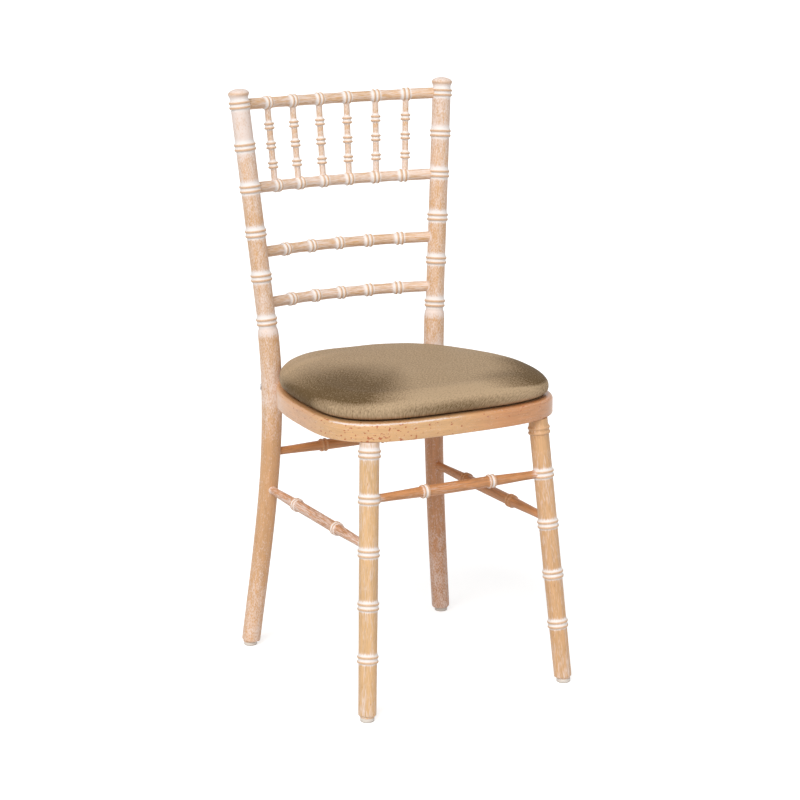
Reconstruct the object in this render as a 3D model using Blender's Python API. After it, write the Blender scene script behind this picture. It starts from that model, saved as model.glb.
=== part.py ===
"""Limed beech dining chair with a loose upholstered seat pad.

The chair has turned, ringed rear posts and front legs, four bowed back rails, six
spindles, a bent seat hoop with a plywood panel, four stretchers and nail-on glides.
The pad is a board, a foam block and a cloth cover, and lifts off its hook-and-loop tape.
Metres, +Z up, +Y towards the back, +X to the right of someone who faces the chair.
"""

import math

import bmesh
import bpy
from mathutils import Vector

# Clearance that pieces keep where they touch
FIT_GAP = 0.0003

# Feet on the floor
FRONT_FOOT_X = 0.1757
FRONT_FOOT_Y = -0.21918
REAR_FOOT_X = 0.1814
FOOT_DEPTH = 0.3966
GLIDE_HEIGHT = 0.0065
GLIDE_RADIUS = 0.0108
GLIDE_EDGE = 0.0016
NAIL_RADIUS = 0.0016
NAIL_TIP_RADIUS = 0.0005
NAIL_HEAD_RADIUS = 0.0036
NAIL_HEAD_HEIGHT = 0.0015
NAIL_RECESS = 0.0012
NAIL_LENGTH = 0.022

# Front legs
LEG_LEAN_X = 0.0280
LEG_LEAN_Y = 0.0421
LEG_FOOT_RADIUS = 0.0138
LEG_TOP_RADIUS = 0.0151
LEG_FIRST_RING = 0.0949
LEG_RING_PITCH = 0.0803
LEG_LOWER_RINGS = 4
LEG_TOP_RING_DROP = 0.0196
LEG_TENON_RADIUS = 0.0085
LEG_TENON_LENGTH = 0.0150
FOOT_CHAMFER_HEIGHT = 0.0042
FOOT_CHAMFER = 0.0028

# Rear posts: a straight upper part, and a lower part that curves out to the foot
POST_KNEE_X = 0.1542
POST_KNEE_DEPTH = 0.3745
POST_KNEE_HEIGHT = 0.5455
POST_SLOPE_X = 0.0816
POST_SLOPE_Y = 0.0831
FOOT_SLOPE_X = 0.107
FOOT_SLOPE_Y = 0.075
POST_RADIUS = 0.0149
POST_NECK_RADIUS = 0.0145
POST_SHOULDER_RADIUS = 0.0167
POST_SHOULDER_DROP = 0.026
POST_SHIN_RADIUS = 0.0155
POST_SHIN_HEIGHT = 0.29
POST_FOOT_RADIUS = 0.0150
LOWER_RING_PITCH = 0.0706
LOWER_RING_STEPS = 3
UPPER_RING_PITCH = 0.0656
UPPER_RING_STEPS = 2
FINIAL_NECK_RADIUS = 0.0139
FINIAL_RADIUS = 0.0167
FINIAL_RISE = 0.0162
FINIAL_DOME = 0.0088

# Double rings: two round beads with a groove between them
BEAD_RISE = 0.0023
GROOVE_RISE = 0.0016
BEAD_PITCH = 0.0069
RING_LENGTH = 0.0160

# Bowed back rails
RAIL_BOW = 0.0373
RAIL_RADIUS = 0.0088
RAIL_WAIST_RADIUS = 0.0083
RAIL_BEAD_RADIUS = 0.0109
RAIL_GROOVE_RADIUS = 0.0101
RAIL_RING_LENGTH = 0.0140
MIDDLE_RAIL_RISE = 0.1093
LOWER_RAIL_RISE = 0.0283
LADDER_END = 0.0585
LADDER_RINGS = 5

# Spindles between the two upper rails
SPINDLE_COUNT = 6
SPINDLE_END = 0.0565
SPINDLE_RADIUS = 0.0049
SPINDLE_TENON_RADIUS = 0.0040
SPINDLE_BEAD_RADIUS = 0.0082
SPINDLE_GROOVE_RADIUS = 0.0068
SPINDLE_RING_LENGTH = 0.0145
SPINDLE_RING_PITCH = 0.0311
SPINDLE_STOP = 0.0030

# Stretchers under the seat
FRONT_STRETCHER_HEIGHT = 0.3354
REAR_STRETCHER_HEIGHT = 0.3300
SIDE_STRETCHER_FRONT = 0.2635
SIDE_STRETCHER_REAR = 0.2696
STRETCHER_END_RADIUS = 0.0063
STRETCHER_RADIUS = 0.0086
STRETCHER_BEAD_RADIUS = 0.0108
STRETCHER_GROOVE_RADIUS = 0.0098
CROSS_RING_INSET = 0.0950
SIDE_RING_INSET = 0.1050
STRETCHER_NEAR_SHARE = 0.40
STRETCHER_NEAR_SWELL = 0.15
STRETCHER_RING_SWELL = 0.75
TENON_STOP = 0.0040
BORE_REACH = 0.0290

# Seat hoop, a bent ring with a rebate for the panel
SEAT_BOTTOM = 0.4240
HOOP_HEIGHT = 0.0285
HOOP_WIDTH = 0.0240
HOOP_TOP_ROUND = 0.0058
HOOP_BOTTOM_ROUND = 0.0020
SEAT_HALF_WIDTH = 0.1980
SEAT_FRONT_DEPTH = 0.0095
SEAT_REAR_REACH = 0.0377
SEAT_WIDEST_DEPTH = 0.1745
SEAT_FRONT_POWER = 3.39
SEAT_REAR_POWER = 2.70
SEAT_TAPER_SHARE = 0.143
REBATE_WIDTH = 0.0080
PANEL_THICKNESS = 0.0060

# Fasteners
BOLT_RADIUS = 0.0030
BOLT_HEAD_RADIUS = 0.0060
BOLT_HEAD_HEIGHT = 0.0034
BOLT_HEAD_RIM = 0.0008
BOLT_RISE = 0.0135
BOLT_SEAT_DEPTH = 0.0006
NUT_RADIUS = 0.0070
NUT_THICKNESS = 0.0040
NUT_CHAMFER = 0.0014
NUT_SEAT_DEPTH = 0.0010
SCREW_RADIUS = 0.0015
SCREW_TIP_RADIUS = 0.0006
SCREW_HEAD_RADIUS = 0.0030
SCREW_LENGTH = 0.0140
SCREW_X = 0.0900

# Seat pad
TAPE_LENGTH = 0.0800
TAPE_WIDTH = 0.0250
TAPE_THICKNESS = 0.0016
TAPE_X = 0.0750
CLOTH_THICKNESS = 0.0012
BOARD_THICKNESS = 0.0050
BOARD_INSET = 0.0200
HEM_INSET = 0.0480
PAD_INSET = 0.0050
PAD_UNDERCUT = 0.0075
PAD_WIDEST_RISE = 0.0105
PAD_EDGE_WIDTH = 0.0500
PAD_EDGE_HEIGHT = 0.0355
PAD_EDGE_POWER = 2.60
PAD_CROWN_WIDTH = 0.0800
PAD_CROWN_RISE = 0.0045

# Mesh fineness
LATHE_SIDES = 12
RAIL_SIDES = 10
SPINDLE_SIDES = 8
BORE_SIDES = 12
SEAT_POINTS = 44
CORNER_LENGTH = 0.10
FINE_STEPS = 1440
PAD_UNDER_STEPS = 3
PAD_EDGE_STEPS = 6
PAD_CROWN_STEPS = 2
DOME_STEPS = 3
DOME_END = math.radians(76)
SHARP_ANGLE = math.radians(40)

# Heights and depths that follow from the sizes above
SEAT_TOP = SEAT_BOTTOM + HOOP_HEIGHT
REAR_FOOT_Y = FRONT_FOOT_Y + FOOT_DEPTH
KNEE_Y = FRONT_FOOT_Y + POST_KNEE_DEPTH
SPINDLE_RAIL_HEIGHT = POST_KNEE_HEIGHT + LOWER_RING_STEPS * LOWER_RING_PITCH
TOP_RING_HEIGHT = SPINDLE_RAIL_HEIGHT + UPPER_RING_STEPS * UPPER_RING_PITCH
MIDDLE_RAIL_HEIGHT = POST_KNEE_HEIGHT + MIDDLE_RAIL_RISE
LOWER_RAIL_HEIGHT = POST_KNEE_HEIGHT + LOWER_RAIL_RISE
POST_RING_HEIGHTS = [POST_KNEE_HEIGHT + step * LOWER_RING_PITCH for step in range(LOWER_RING_STEPS)]
POST_RING_HEIGHTS += [SPINDLE_RAIL_HEIGHT + step * UPPER_RING_PITCH
                      for step in range(UPPER_RING_STEPS + 1)]
LEG_RING_HEIGHTS = [LEG_FIRST_RING + step * LEG_RING_PITCH for step in range(LEG_LOWER_RINGS)]
LEG_RING_HEIGHTS.append(SEAT_BOTTOM - LEG_TOP_RING_DROP)
FOOT_BOTTOM = GLIDE_HEIGHT + FIT_GAP
REBATE_DEPTH = PANEL_THICKNESS + FIT_GAP
PANEL_TOP = SEAT_TOP
PANEL_INSET = HOOP_WIDTH - REBATE_WIDTH + FIT_GAP
BOARD_BOTTOM = PANEL_TOP + 2 * TAPE_THICKNESS + 3 * FIT_GAP
COVER_BOTTOM = BOARD_BOTTOM - FIT_GAP - CLOTH_THICKNESS
BOLT_SEAT = POST_SHOULDER_RADIUS - BOLT_SEAT_DEPTH


# Materials

def make_material(name, colour, roughness, metallic=0.0):
    material = bpy.data.materials.new(name)
    material.use_nodes = True
    shader = material.node_tree.nodes["Principled BSDF"]
    shader.inputs["Base Color"].default_value = (*colour, 1.0)
    shader.inputs["Roughness"].default_value = roughness
    shader.inputs["Metallic"].default_value = metallic
    material.diffuse_color = (*colour, 1.0)
    return material


# Meshes from loops of points

def finish_mesh(name, mesh_data, material):
    """Triangulate, point the faces outwards and link the piece to the scene."""
    bmesh.ops.triangulate(mesh_data, faces=mesh_data.faces, quad_method="FIXED")
    bmesh.ops.recalc_face_normals(mesh_data, faces=mesh_data.faces)
    mesh = bpy.data.meshes.new(name)
    mesh_data.to_mesh(mesh)
    mesh_data.free()
    mesh.shade_smooth()
    mesh.set_sharp_from_angle(angle=SHARP_ANGLE)
    mesh.materials.append(material)
    piece = bpy.data.objects.new(name, mesh)
    bpy.context.scene.collection.objects.link(piece)
    return piece


def bridge(mesh_data, loops, closed):
    """Join loops of points one to the next, and cap the two ends unless they meet."""
    rows = [[mesh_data.verts.new(point) for point in loop] for loop in loops]
    pairs = list(zip(rows, rows[1:]))
    if closed:
        pairs.append((rows[-1], rows[0]))
    for lower, upper in pairs:
        count = len(lower)
        for index in range(count):
            after = (index + 1) % count
            mesh_data.faces.new((lower[index], lower[after], upper[after], upper[index]))
    if not closed:
        mesh_data.faces.new(list(reversed(rows[0])))
        mesh_data.faces.new(rows[-1])


def loft(name, loops, material, closed=False):
    mesh_data = bmesh.new()
    bridge(mesh_data, loops, closed)
    return finish_mesh(name, mesh_data, material)


def circle(centre, axis, radius, sides, reference):
    """A loop of points round an axis; the first point lies towards the reference."""
    side = (reference - axis * reference.dot(axis)).normalized()
    other = axis.cross(side)
    points = []
    for index in range(sides):
        angle = 2 * math.pi * (index + 0.5) / sides
        points.append(centre + (side * math.cos(angle) + other * math.sin(angle)) * radius)
    return points


def turned_loops(place, stations, sides, reference):
    """Loops square to a curved centre line; place(s) gives its point at length s."""
    step = 0.0005
    loops = []
    for length, radius in stations:
        axis = (place(length + step) - place(length - step)).normalized()
        loops.append(circle(place(length), axis, radius, sides, reference))
    return loops


def rod_loops(start, end, stations, sides, reference):
    """Loops along a straight centre line; stations count from the start."""
    axis = (end - start).normalized()
    return [circle(start + axis * length, axis, radius, sides, reference)
            for length, radius in stations]


# Bores and cuts

def bore_radius(pin_radius):
    """The corner radius of a faceted bore that clears a pin by the fit gap."""
    return (pin_radius + FIT_GAP) / math.cos(math.pi / BORE_SIDES)


def bore_loops(start, end, pin_radius):
    reference = Vector((0, 0, 1)) if abs((end - start).normalized().z) < 0.9 else Vector((0, 1, 0))
    length = (end - start).length
    radius = bore_radius(pin_radius)
    return rod_loops(start, end, [(0, radius), (length, radius)], BORE_SIDES, reference)


def cut(piece, cutter_loops):
    """Cut closed lofts, which don't touch each other, out of a piece."""
    mesh_data = bmesh.new()
    for loops in cutter_loops:
        bridge(mesh_data, loops, False)
    cutter = finish_mesh(piece.name + "_cutter", mesh_data, piece.data.materials[0])
    cutter.hide_render = True
    cutter.display_type = "WIRE"
    modifier = piece.modifiers.new("Cut", "BOOLEAN")
    modifier.operation = "DIFFERENCE"
    modifier.solver = "EXACT"
    modifier.object = cutter
    evaluated = piece.evaluated_get(bpy.context.evaluated_depsgraph_get())
    result = bpy.data.meshes.new_from_object(evaluated)
    result.name = piece.name
    piece.modifiers.clear()
    old_mesh = piece.data
    piece.data = result
    bpy.data.meshes.remove(old_mesh)
    bpy.data.objects.remove(cutter)


# Centre lines

def leg_point(side, height):
    """The centre of a front leg at a height."""
    share = height / SEAT_BOTTOM
    return Vector((side * (FRONT_FOOT_X - LEG_LEAN_X * share), FRONT_FOOT_Y + LEG_LEAN_Y * share, height))


def curve_below_knee(foot, knee, foot_slope, knee_slope, height):
    """One coordinate of the lower post: a cubic with a set slope at both ends."""
    share = height / POST_KNEE_HEIGHT
    square = share * share
    cube = square * share
    value = foot * (2 * cube - 3 * square + 1) + knee * (3 * square - 2 * cube)
    value += foot_slope * POST_KNEE_HEIGHT * (cube - 2 * square + share)
    return value + knee_slope * POST_KNEE_HEIGHT * (cube - square)


def post_point(side, height):
    """The centre of a rear post at a height."""
    if height >= POST_KNEE_HEIGHT:
        rise = height - POST_KNEE_HEIGHT
        across = POST_KNEE_X + POST_SLOPE_X * rise
        depth = KNEE_Y + POST_SLOPE_Y * rise
    else:
        across = curve_below_knee(REAR_FOOT_X, POST_KNEE_X, -FOOT_SLOPE_X, POST_SLOPE_X, height)
        depth = curve_below_knee(REAR_FOOT_Y, KNEE_Y, -FOOT_SLOPE_Y, POST_SLOPE_Y, height)
    return Vector((side * across, depth, height))


def rail_point(height, share):
    """A point on a bowed rail's centre line; share runs from the left post to the right."""
    left = post_point(-1, height)
    right = post_point(1, height)
    back = Vector((0, 1, -POST_SLOPE_Y)).normalized()
    bow = RAIL_BOW * (1 - (2 * share - 1) ** 2)
    return left.lerp(right, share) + back * bow


def rail_span(height):
    return 2 * post_point(1, height).x


def spindle_shares():
    first = SPINDLE_END / rail_span(TOP_RING_HEIGHT)
    step = (1 - 2 * first) / (SPINDLE_COUNT - 1)
    return [first + step * index for index in range(SPINDLE_COUNT)]


def ladder_shares(height):
    first = LADDER_END / rail_span(height)
    step = (1 - 2 * first) / (LADDER_RINGS - 1)
    return [first + step * index for index in range(LADDER_RINGS)]


# Seat outline, which ends a set reach behind the rear posts

SEAT_FRONT_Y = FRONT_FOOT_Y + SEAT_FRONT_DEPTH
SEAT_REAR_Y = post_point(1, SEAT_BOTTOM).y + SEAT_REAR_REACH
SEAT_WIDEST_Y = FRONT_FOOT_Y + SEAT_WIDEST_DEPTH
SEAT_MIDDLE_Y = (SEAT_FRONT_Y + SEAT_REAR_Y) / 2
SEAT_HALF_DEPTH = (SEAT_REAR_Y - SEAT_FRONT_Y) / 2


def seat_curve(angle):
    """A point of the seat's outer edge; the angle runs round the middle of the seat."""
    across = math.cos(angle)
    along = math.sin(angle)
    front = along < 0
    reach = SEAT_WIDEST_Y - SEAT_FRONT_Y if front else SEAT_REAR_Y - SEAT_WIDEST_Y
    power = 2 / (SEAT_FRONT_POWER if front else SEAT_REAR_POWER)
    width = math.copysign(abs(across) ** power, across)
    depth = reach * math.copysign(abs(along) ** power, along)
    taper = 1 - SEAT_TAPER_SHARE * depth / (2 * SEAT_HALF_DEPTH)
    return Vector((SEAT_HALF_WIDTH * width * taper, SEAT_WIDEST_Y + depth, 0))


def even_outline(count):
    """Points of the seat outline from the front middle, closer together round its corners."""
    points = [seat_curve(2 * math.pi * index / FINE_STEPS - math.pi / 2)
              for index in range(FINE_STEPS + 1)]
    lengths = [0.0]
    for index in range(FINE_STEPS):
        forward = points[index + 1] - points[index]
        onward = points[(index + 2) % FINE_STEPS] - points[index + 1]
        lengths.append(lengths[-1] + forward.length + CORNER_LENGTH * forward.angle(onward))
    outline = []
    index = 0
    for step in range(count):
        wanted = lengths[-1] * step / count
        while lengths[index + 1] < wanted:
            index += 1
        share = (wanted - lengths[index]) / (lengths[index + 1] - lengths[index])
        outline.append(points[index].lerp(points[index + 1], share))
    return outline


def inset_outline(inset, height):
    """The seat outline moved inwards by a distance, at a height."""
    outline = even_outline(SEAT_POINTS)
    loop = []
    for index, point in enumerate(outline):
        along = (outline[(index + 1) % len(outline)] - outline[index - 1]).normalized()
        inward = Vector((-along.y, along.x, 0))
        loop.append(point + inward * inset + Vector((0, 0, height)))
    return loop


def pad_loop(inset, height):
    """The seat outline drawn in evenly towards the middle of the seat."""
    across = 1 - inset / SEAT_HALF_WIDTH
    along = 1 - inset / SEAT_HALF_DEPTH
    return [Vector((point.x * across, SEAT_MIDDLE_Y + (point.y - SEAT_MIDDLE_Y) * along, height))
            for point in even_outline(SEAT_POINTS)]


def outline_near(target):
    """The point of the seat outline nearest to a place in plan, and the way inwards there."""
    flat = Vector((target.x, target.y, 0))
    points = [seat_curve(2 * math.pi * index / FINE_STEPS) for index in range(FINE_STEPS)]
    nearest = min(range(FINE_STEPS), key=lambda index: (points[index] - flat).length)
    along = (points[(nearest + 1) % FINE_STEPS] - points[nearest - 1]).normalized()
    return points[nearest], Vector((-along.y, along.x, 0))


# Turned profiles

def dome_stations(start, radius, rise):
    """A rounded end: a quarter ellipse from its full radius almost to a point."""
    stations = []
    for step in range(DOME_STEPS + 1):
        angle = DOME_END * step / DOME_STEPS
        stations.append((start + rise * math.sin(angle), radius * math.cos(angle)))
    return stations


def double_ring(middle, shaft_before, shaft_after, bead, groove, length):
    """Stations of a double ring: flank, bead, groove, bead, flank."""
    return [
        (middle - length / 2, shaft_before),
        (middle - BEAD_PITCH / 2, bead),
        (middle, groove),
        (middle + BEAD_PITCH / 2, bead),
        (middle + length / 2, shaft_after),
    ]


def leg_radius(height):
    share = (height - FOOT_BOTTOM) / (SEAT_BOTTOM - FOOT_BOTTOM)
    return LEG_FOOT_RADIUS + (LEG_TOP_RADIUS - LEG_FOOT_RADIUS) * share


def leg_stations():
    shoulder = SEAT_BOTTOM - FIT_GAP
    stations = [
        (FOOT_BOTTOM, LEG_FOOT_RADIUS - FOOT_CHAMFER),
        (FOOT_BOTTOM + FOOT_CHAMFER_HEIGHT, LEG_FOOT_RADIUS),
    ]
    for height in LEG_RING_HEIGHTS:
        radius = leg_radius(height)
        stations += double_ring(height, radius, radius, radius + BEAD_RISE,
                                radius + GROOVE_RISE, RING_LENGTH)
    stations += [
        (shoulder, LEG_TOP_RADIUS),
        (shoulder, LEG_TENON_RADIUS),
        (shoulder + LEG_TENON_LENGTH, LEG_TENON_RADIUS),
    ]
    return stations


def post_stations():
    """Heights and radii of a rear post from its foot to its finial."""
    shoulder = POST_KNEE_HEIGHT - POST_SHOULDER_DROP
    foot_top = FOOT_BOTTOM + FOOT_CHAMFER_HEIGHT
    stations = [(FOOT_BOTTOM, POST_FOOT_RADIUS - FOOT_CHAMFER)]
    foot_steps = 4
    for step in range(foot_steps):
        share = step / foot_steps
        radius = POST_FOOT_RADIUS + (POST_SHIN_RADIUS - POST_FOOT_RADIUS) * share
        stations.append((foot_top + (POST_SHIN_HEIGHT - foot_top) * share, radius))
    shin_steps = 4
    for step in range(shin_steps + 1):
        share = step / shin_steps
        radius = POST_SHIN_RADIUS + (POST_SHOULDER_RADIUS - POST_SHIN_RADIUS) * min(1.0, share * 2)
        stations.append((POST_SHIN_HEIGHT + (shoulder - POST_SHIN_HEIGHT) * share, radius))
    stations.append((POST_KNEE_HEIGHT - RING_LENGTH, (POST_NECK_RADIUS + POST_SHOULDER_RADIUS) / 2))
    bead = POST_RADIUS + BEAD_RISE
    groove = POST_RADIUS + GROOVE_RISE
    for height in POST_RING_HEIGHTS:
        below = POST_NECK_RADIUS if height == POST_KNEE_HEIGHT else POST_RADIUS
        above = FINIAL_NECK_RADIUS if height == TOP_RING_HEIGHT else POST_RADIUS
        stations += double_ring(height, below, above, bead, groove, RING_LENGTH)
    widest = TOP_RING_HEIGHT + FINIAL_RISE
    stations.append((widest - FINIAL_RISE / 4, (FINIAL_NECK_RADIUS + FINIAL_RADIUS) / 2))
    return stations + dome_stations(widest, FINIAL_RADIUS, FINIAL_DOME)


def level_loop(loop, height):
    """Flatten a loop onto a level plane, for a foot or a shoulder."""
    return [Vector((point.x, point.y, height)) for point in loop]


def tenon_share(height, stop):
    """How far along a rail its end lies, a stop short of the post's centre line."""
    return stop / rail_span(height)


def rail_stations(height, shares):
    """Shares and radii of a bowed rail from end to end."""
    span = rail_span(height)
    end = tenon_share(height, TENON_STOP)
    stations = [(end, RAIL_RADIUS), (shares[0] / 2, RAIL_RADIUS)]
    for index, share in enumerate(shares):
        if index:
            stations.append(((shares[index - 1] + share) / 2, RAIL_WAIST_RADIUS))
        half = RAIL_RING_LENGTH / 2 / span
        bead = BEAD_PITCH / 2 / span
        stations += [
            (share - half, RAIL_RADIUS),
            (share - bead, RAIL_BEAD_RADIUS),
            (share, RAIL_GROOVE_RADIUS),
            (share + bead, RAIL_BEAD_RADIUS),
            (share + half, RAIL_RADIUS),
        ]
    stations += [(1 - shares[0] / 2, RAIL_RADIUS), (1 - end, RAIL_RADIUS)]
    return stations


def rail_end_line(height, side):
    """The centre of a rail's end, and a point well outside the post, on its own line."""
    share = tenon_share(height, TENON_STOP - FIT_GAP)
    outer = rail_point(height, share)
    inner = rail_point(height, share + BORE_REACH / rail_span(height))
    if side > 0:
        outer.x = -outer.x
        inner.x = -inner.x
    return outer, inner


def stretcher_stations(length, ring_inset):
    """A stretcher that swells from slim ends to a fuller middle with two double rings."""
    rise = STRETCHER_RADIUS - STRETCHER_END_RADIUS
    ring_radius = STRETCHER_END_RADIUS + rise * STRETCHER_RING_SWELL
    near_radius = STRETCHER_END_RADIUS + rise * STRETCHER_NEAR_SWELL
    near = ring_inset * STRETCHER_NEAR_SHARE
    stations = [(TENON_STOP, STRETCHER_END_RADIUS), (near, near_radius)]
    stations += double_ring(ring_inset, ring_radius, STRETCHER_RADIUS, STRETCHER_BEAD_RADIUS,
                            STRETCHER_GROOVE_RADIUS, RING_LENGTH)
    stations += double_ring(length - ring_inset, STRETCHER_RADIUS, ring_radius,
                            STRETCHER_BEAD_RADIUS, STRETCHER_GROOVE_RADIUS, RING_LENGTH)
    return stations + [(length - near, near_radius), (length - TENON_STOP, STRETCHER_END_RADIUS)]


def end_bore(start, end):
    """The bore in the piece at the start of a straight stretcher or spindle."""
    along = (end - start).normalized()
    return bore_loops(start + along * (TENON_STOP - FIT_GAP), start + along * BORE_REACH,
                      STRETCHER_END_RADIUS)


# Seat bolts run square to the hoop, from the outer side of each rear post

def bolt_line(side):
    """A point on the bolt's axis at the post's centre, and the way it runs inwards."""
    height = SEAT_BOTTOM + BOLT_RISE
    centre = post_point(side, height)
    near, inward = outline_near(centre)
    depth = Vector((near.x - centre.x, near.y - centre.y, 0)).length
    return centre, inward, depth


# Wooden pieces

def make_rear_post(name, side, wood):
    stations = post_stations()
    reference = Vector((0, 1, 0))
    loops = turned_loops(lambda height: post_point(side, height), stations, LATHE_SIDES, reference)
    loops[0] = level_loop(loops[0], FOOT_BOTTOM)
    post = loft(name, loops, wood)
    cutters = []
    for height in (TOP_RING_HEIGHT, SPINDLE_RAIL_HEIGHT, MIDDLE_RAIL_HEIGHT, LOWER_RAIL_HEIGHT):
        outer, inner = rail_end_line(height, side)
        cutters.append(bore_loops(outer, inner, RAIL_RADIUS))
    rear = (post_point(side, REAR_STRETCHER_HEIGHT), post_point(-side, REAR_STRETCHER_HEIGHT))
    cutters.append(end_bore(*rear))
    front = leg_point(side, SIDE_STRETCHER_FRONT)
    cutters.append(end_bore(post_point(side, SIDE_STRETCHER_REAR), front))
    cutters.append(nail_bore(post_point(side, 0)))
    cutters.append([inset_outline(-FIT_GAP, SEAT_BOTTOM - FIT_GAP),
                    inset_outline(-FIT_GAP, SEAT_TOP + FIT_GAP)])
    cut(post, cutters)
    centre, inward, depth = bolt_line(side)
    reach = POST_SHOULDER_RADIUS + BOLT_HEAD_HEIGHT
    radii = (bore_radius(BOLT_HEAD_RADIUS), bore_radius(BOLT_RADIUS))
    steps = [(-reach, radii[0]), (-BOLT_SEAT, radii[0]), (-BOLT_SEAT, radii[1]), (reach, radii[1])]
    cut(post, [rod_loops(centre, centre + inward, steps, BORE_SIDES, Vector((0, 0, 1)))])
    return post


def make_front_leg(name, side, wood):
    stations = leg_stations()
    reference = Vector((0, 1, 0))
    loops = turned_loops(lambda height: leg_point(side, height), stations, LATHE_SIDES, reference)
    loops[0] = level_loop(loops[0], FOOT_BOTTOM)
    for index in (-3, -2, -1):
        loops[index] = level_loop(loops[index], stations[index][0])
    leg = loft(name, loops, wood)
    here = leg_point(side, FRONT_STRETCHER_HEIGHT)
    there = leg_point(-side, FRONT_STRETCHER_HEIGHT)
    rear = post_point(side, SIDE_STRETCHER_REAR)
    cut(leg, [
        end_bore(here, there),
        end_bore(leg_point(side, SIDE_STRETCHER_FRONT), rear),
        nail_bore(leg_point(side, 0)),
    ])
    return leg


def make_rail(name, height, shares, wood, spindles=0):
    """A bowed rail; spindles is +1 or -1 where sockets open upwards or downwards."""
    loops = turned_loops(lambda share: rail_point(height, share), rail_stations(height, shares),
                         RAIL_SIDES, Vector((0, 0, 1)))
    rail = loft(name, loops, wood)
    if spindles:
        cutters = []
        for share in shares:
            top = rail_point(TOP_RING_HEIGHT, share)
            bottom = rail_point(SPINDLE_RAIL_HEIGHT, share)
            start, end = (bottom, top) if spindles > 0 else (top, bottom)
            along = (end - start).normalized()
            cutters.append(bore_loops(start + along * (SPINDLE_STOP - FIT_GAP),
                                      start + along * SPINDLE_RING_PITCH, SPINDLE_TENON_RADIUS))
        cut(rail, cutters)
    return rail


def make_spindle(name, share, wood):
    top = rail_point(TOP_RING_HEIGHT, share)
    bottom = rail_point(SPINDLE_RAIL_HEIGHT, share)
    length = (top - bottom).length
    neck = RAIL_GROOVE_RADIUS + FIT_GAP
    stations = [(SPINDLE_STOP, SPINDLE_TENON_RADIUS), (neck, SPINDLE_TENON_RADIUS),
                (neck + SPINDLE_TENON_RADIUS / 2, SPINDLE_RADIUS)]
    for step in (1, 0, -1):
        stations += double_ring(length / 2 - step * SPINDLE_RING_PITCH, SPINDLE_RADIUS,
                                SPINDLE_RADIUS, SPINDLE_BEAD_RADIUS, SPINDLE_GROOVE_RADIUS,
                                SPINDLE_RING_LENGTH)
    stations += [(length - neck - SPINDLE_TENON_RADIUS / 2, SPINDLE_RADIUS),
                 (length - neck, SPINDLE_TENON_RADIUS),
                 (length - SPINDLE_STOP, SPINDLE_TENON_RADIUS)]
    loops = rod_loops(bottom, top, stations, SPINDLE_SIDES, Vector((0, 1, 0)))
    return loft(name, loops, wood)


def make_stretcher(name, start, end, ring_inset, wood):
    stations = stretcher_stations((end - start).length, ring_inset)
    loops = rod_loops(start, end, stations, RAIL_SIDES, Vector((0, 0, 1)))
    return loft(name, loops, wood)


def make_seat_hoop(name, wood):
    rebate_bottom = SEAT_TOP - REBATE_DEPTH
    rebate_inset = HOOP_WIDTH - REBATE_WIDTH
    corner = HOOP_TOP_ROUND * (1 - math.sqrt(0.5))
    section = [
        (HOOP_WIDTH, SEAT_BOTTOM),
        (HOOP_BOTTOM_ROUND, SEAT_BOTTOM),
        (0, SEAT_BOTTOM + HOOP_BOTTOM_ROUND),
        (0, SEAT_TOP - HOOP_TOP_ROUND),
        (corner, SEAT_TOP - corner),
        (HOOP_TOP_ROUND, SEAT_TOP),
        (rebate_inset, SEAT_TOP),
        (rebate_inset, rebate_bottom),
        (HOOP_WIDTH, rebate_bottom),
    ]
    hoop = loft(name, [inset_outline(inset, height) for inset, height in section], wood, closed=True)
    cutters = []
    for side in (-1, 1):
        top = leg_point(side, SEAT_BOTTOM + LEG_TENON_LENGTH)
        low = leg_point(side, SEAT_BOTTOM - LEG_TOP_RING_DROP)
        cutters.append([level_loop(loop, loop_height) for loop, loop_height in zip(
            bore_loops(low, top, LEG_TENON_RADIUS), (low.z, top.z))])
        centre, inward, depth = bolt_line(side)
        seat = depth + HOOP_WIDTH - NUT_SEAT_DEPTH
        radii = (bore_radius(BOLT_RADIUS), bore_radius(NUT_RADIUS))
        steps = [(0, radii[0]), (seat, radii[0]), (seat, radii[1]), (seat + HOOP_WIDTH, radii[1])]
        cutters.append(rod_loops(centre, centre + inward, steps, BORE_SIDES, Vector((0, 0, 1))))
    for place in screw_places():
        cutters.append(bore_loops(place - Vector((0, 0, SCREW_LENGTH + FIT_GAP)),
                                  place + Vector((0, 0, SCREW_LENGTH)), SCREW_RADIUS))
    cut(hoop, cutters)
    return hoop


def make_seat_panel(name, wood):
    bottom = PANEL_TOP - PANEL_THICKNESS
    panel = loft(name, [inset_outline(PANEL_INSET, bottom), inset_outline(PANEL_INSET, PANEL_TOP)], wood)
    head = bore_radius(SCREW_HEAD_RADIUS)
    shank = bore_radius(SCREW_RADIUS)
    stations = [(-SCREW_LENGTH, shank), (-SCREW_HEAD_RADIUS + SCREW_RADIUS, shank), (0, head),
                (FIT_GAP * 2, head)]
    cutters = []
    for place in screw_places():
        loops = rod_loops(place, place + Vector((0, 0, 1)), stations, BORE_SIDES, Vector((0, 1, 0)))
        cutters.append(loops)
    cut(panel, cutters)
    return panel


# Fasteners and glides

def screw_places():
    """Tops of the four panel screws, over the middle of the hoop's rebate."""
    places = []
    inset = HOOP_WIDTH - REBATE_WIDTH / 2
    for side in (-1, 1):
        for end_y in (SEAT_FRONT_Y, SEAT_REAR_Y):
            near, inward = outline_near(Vector((side * SCREW_X, end_y, 0)))
            places.append(near + inward * inset + Vector((0, 0, PANEL_TOP - FIT_GAP)))
    return places


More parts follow.
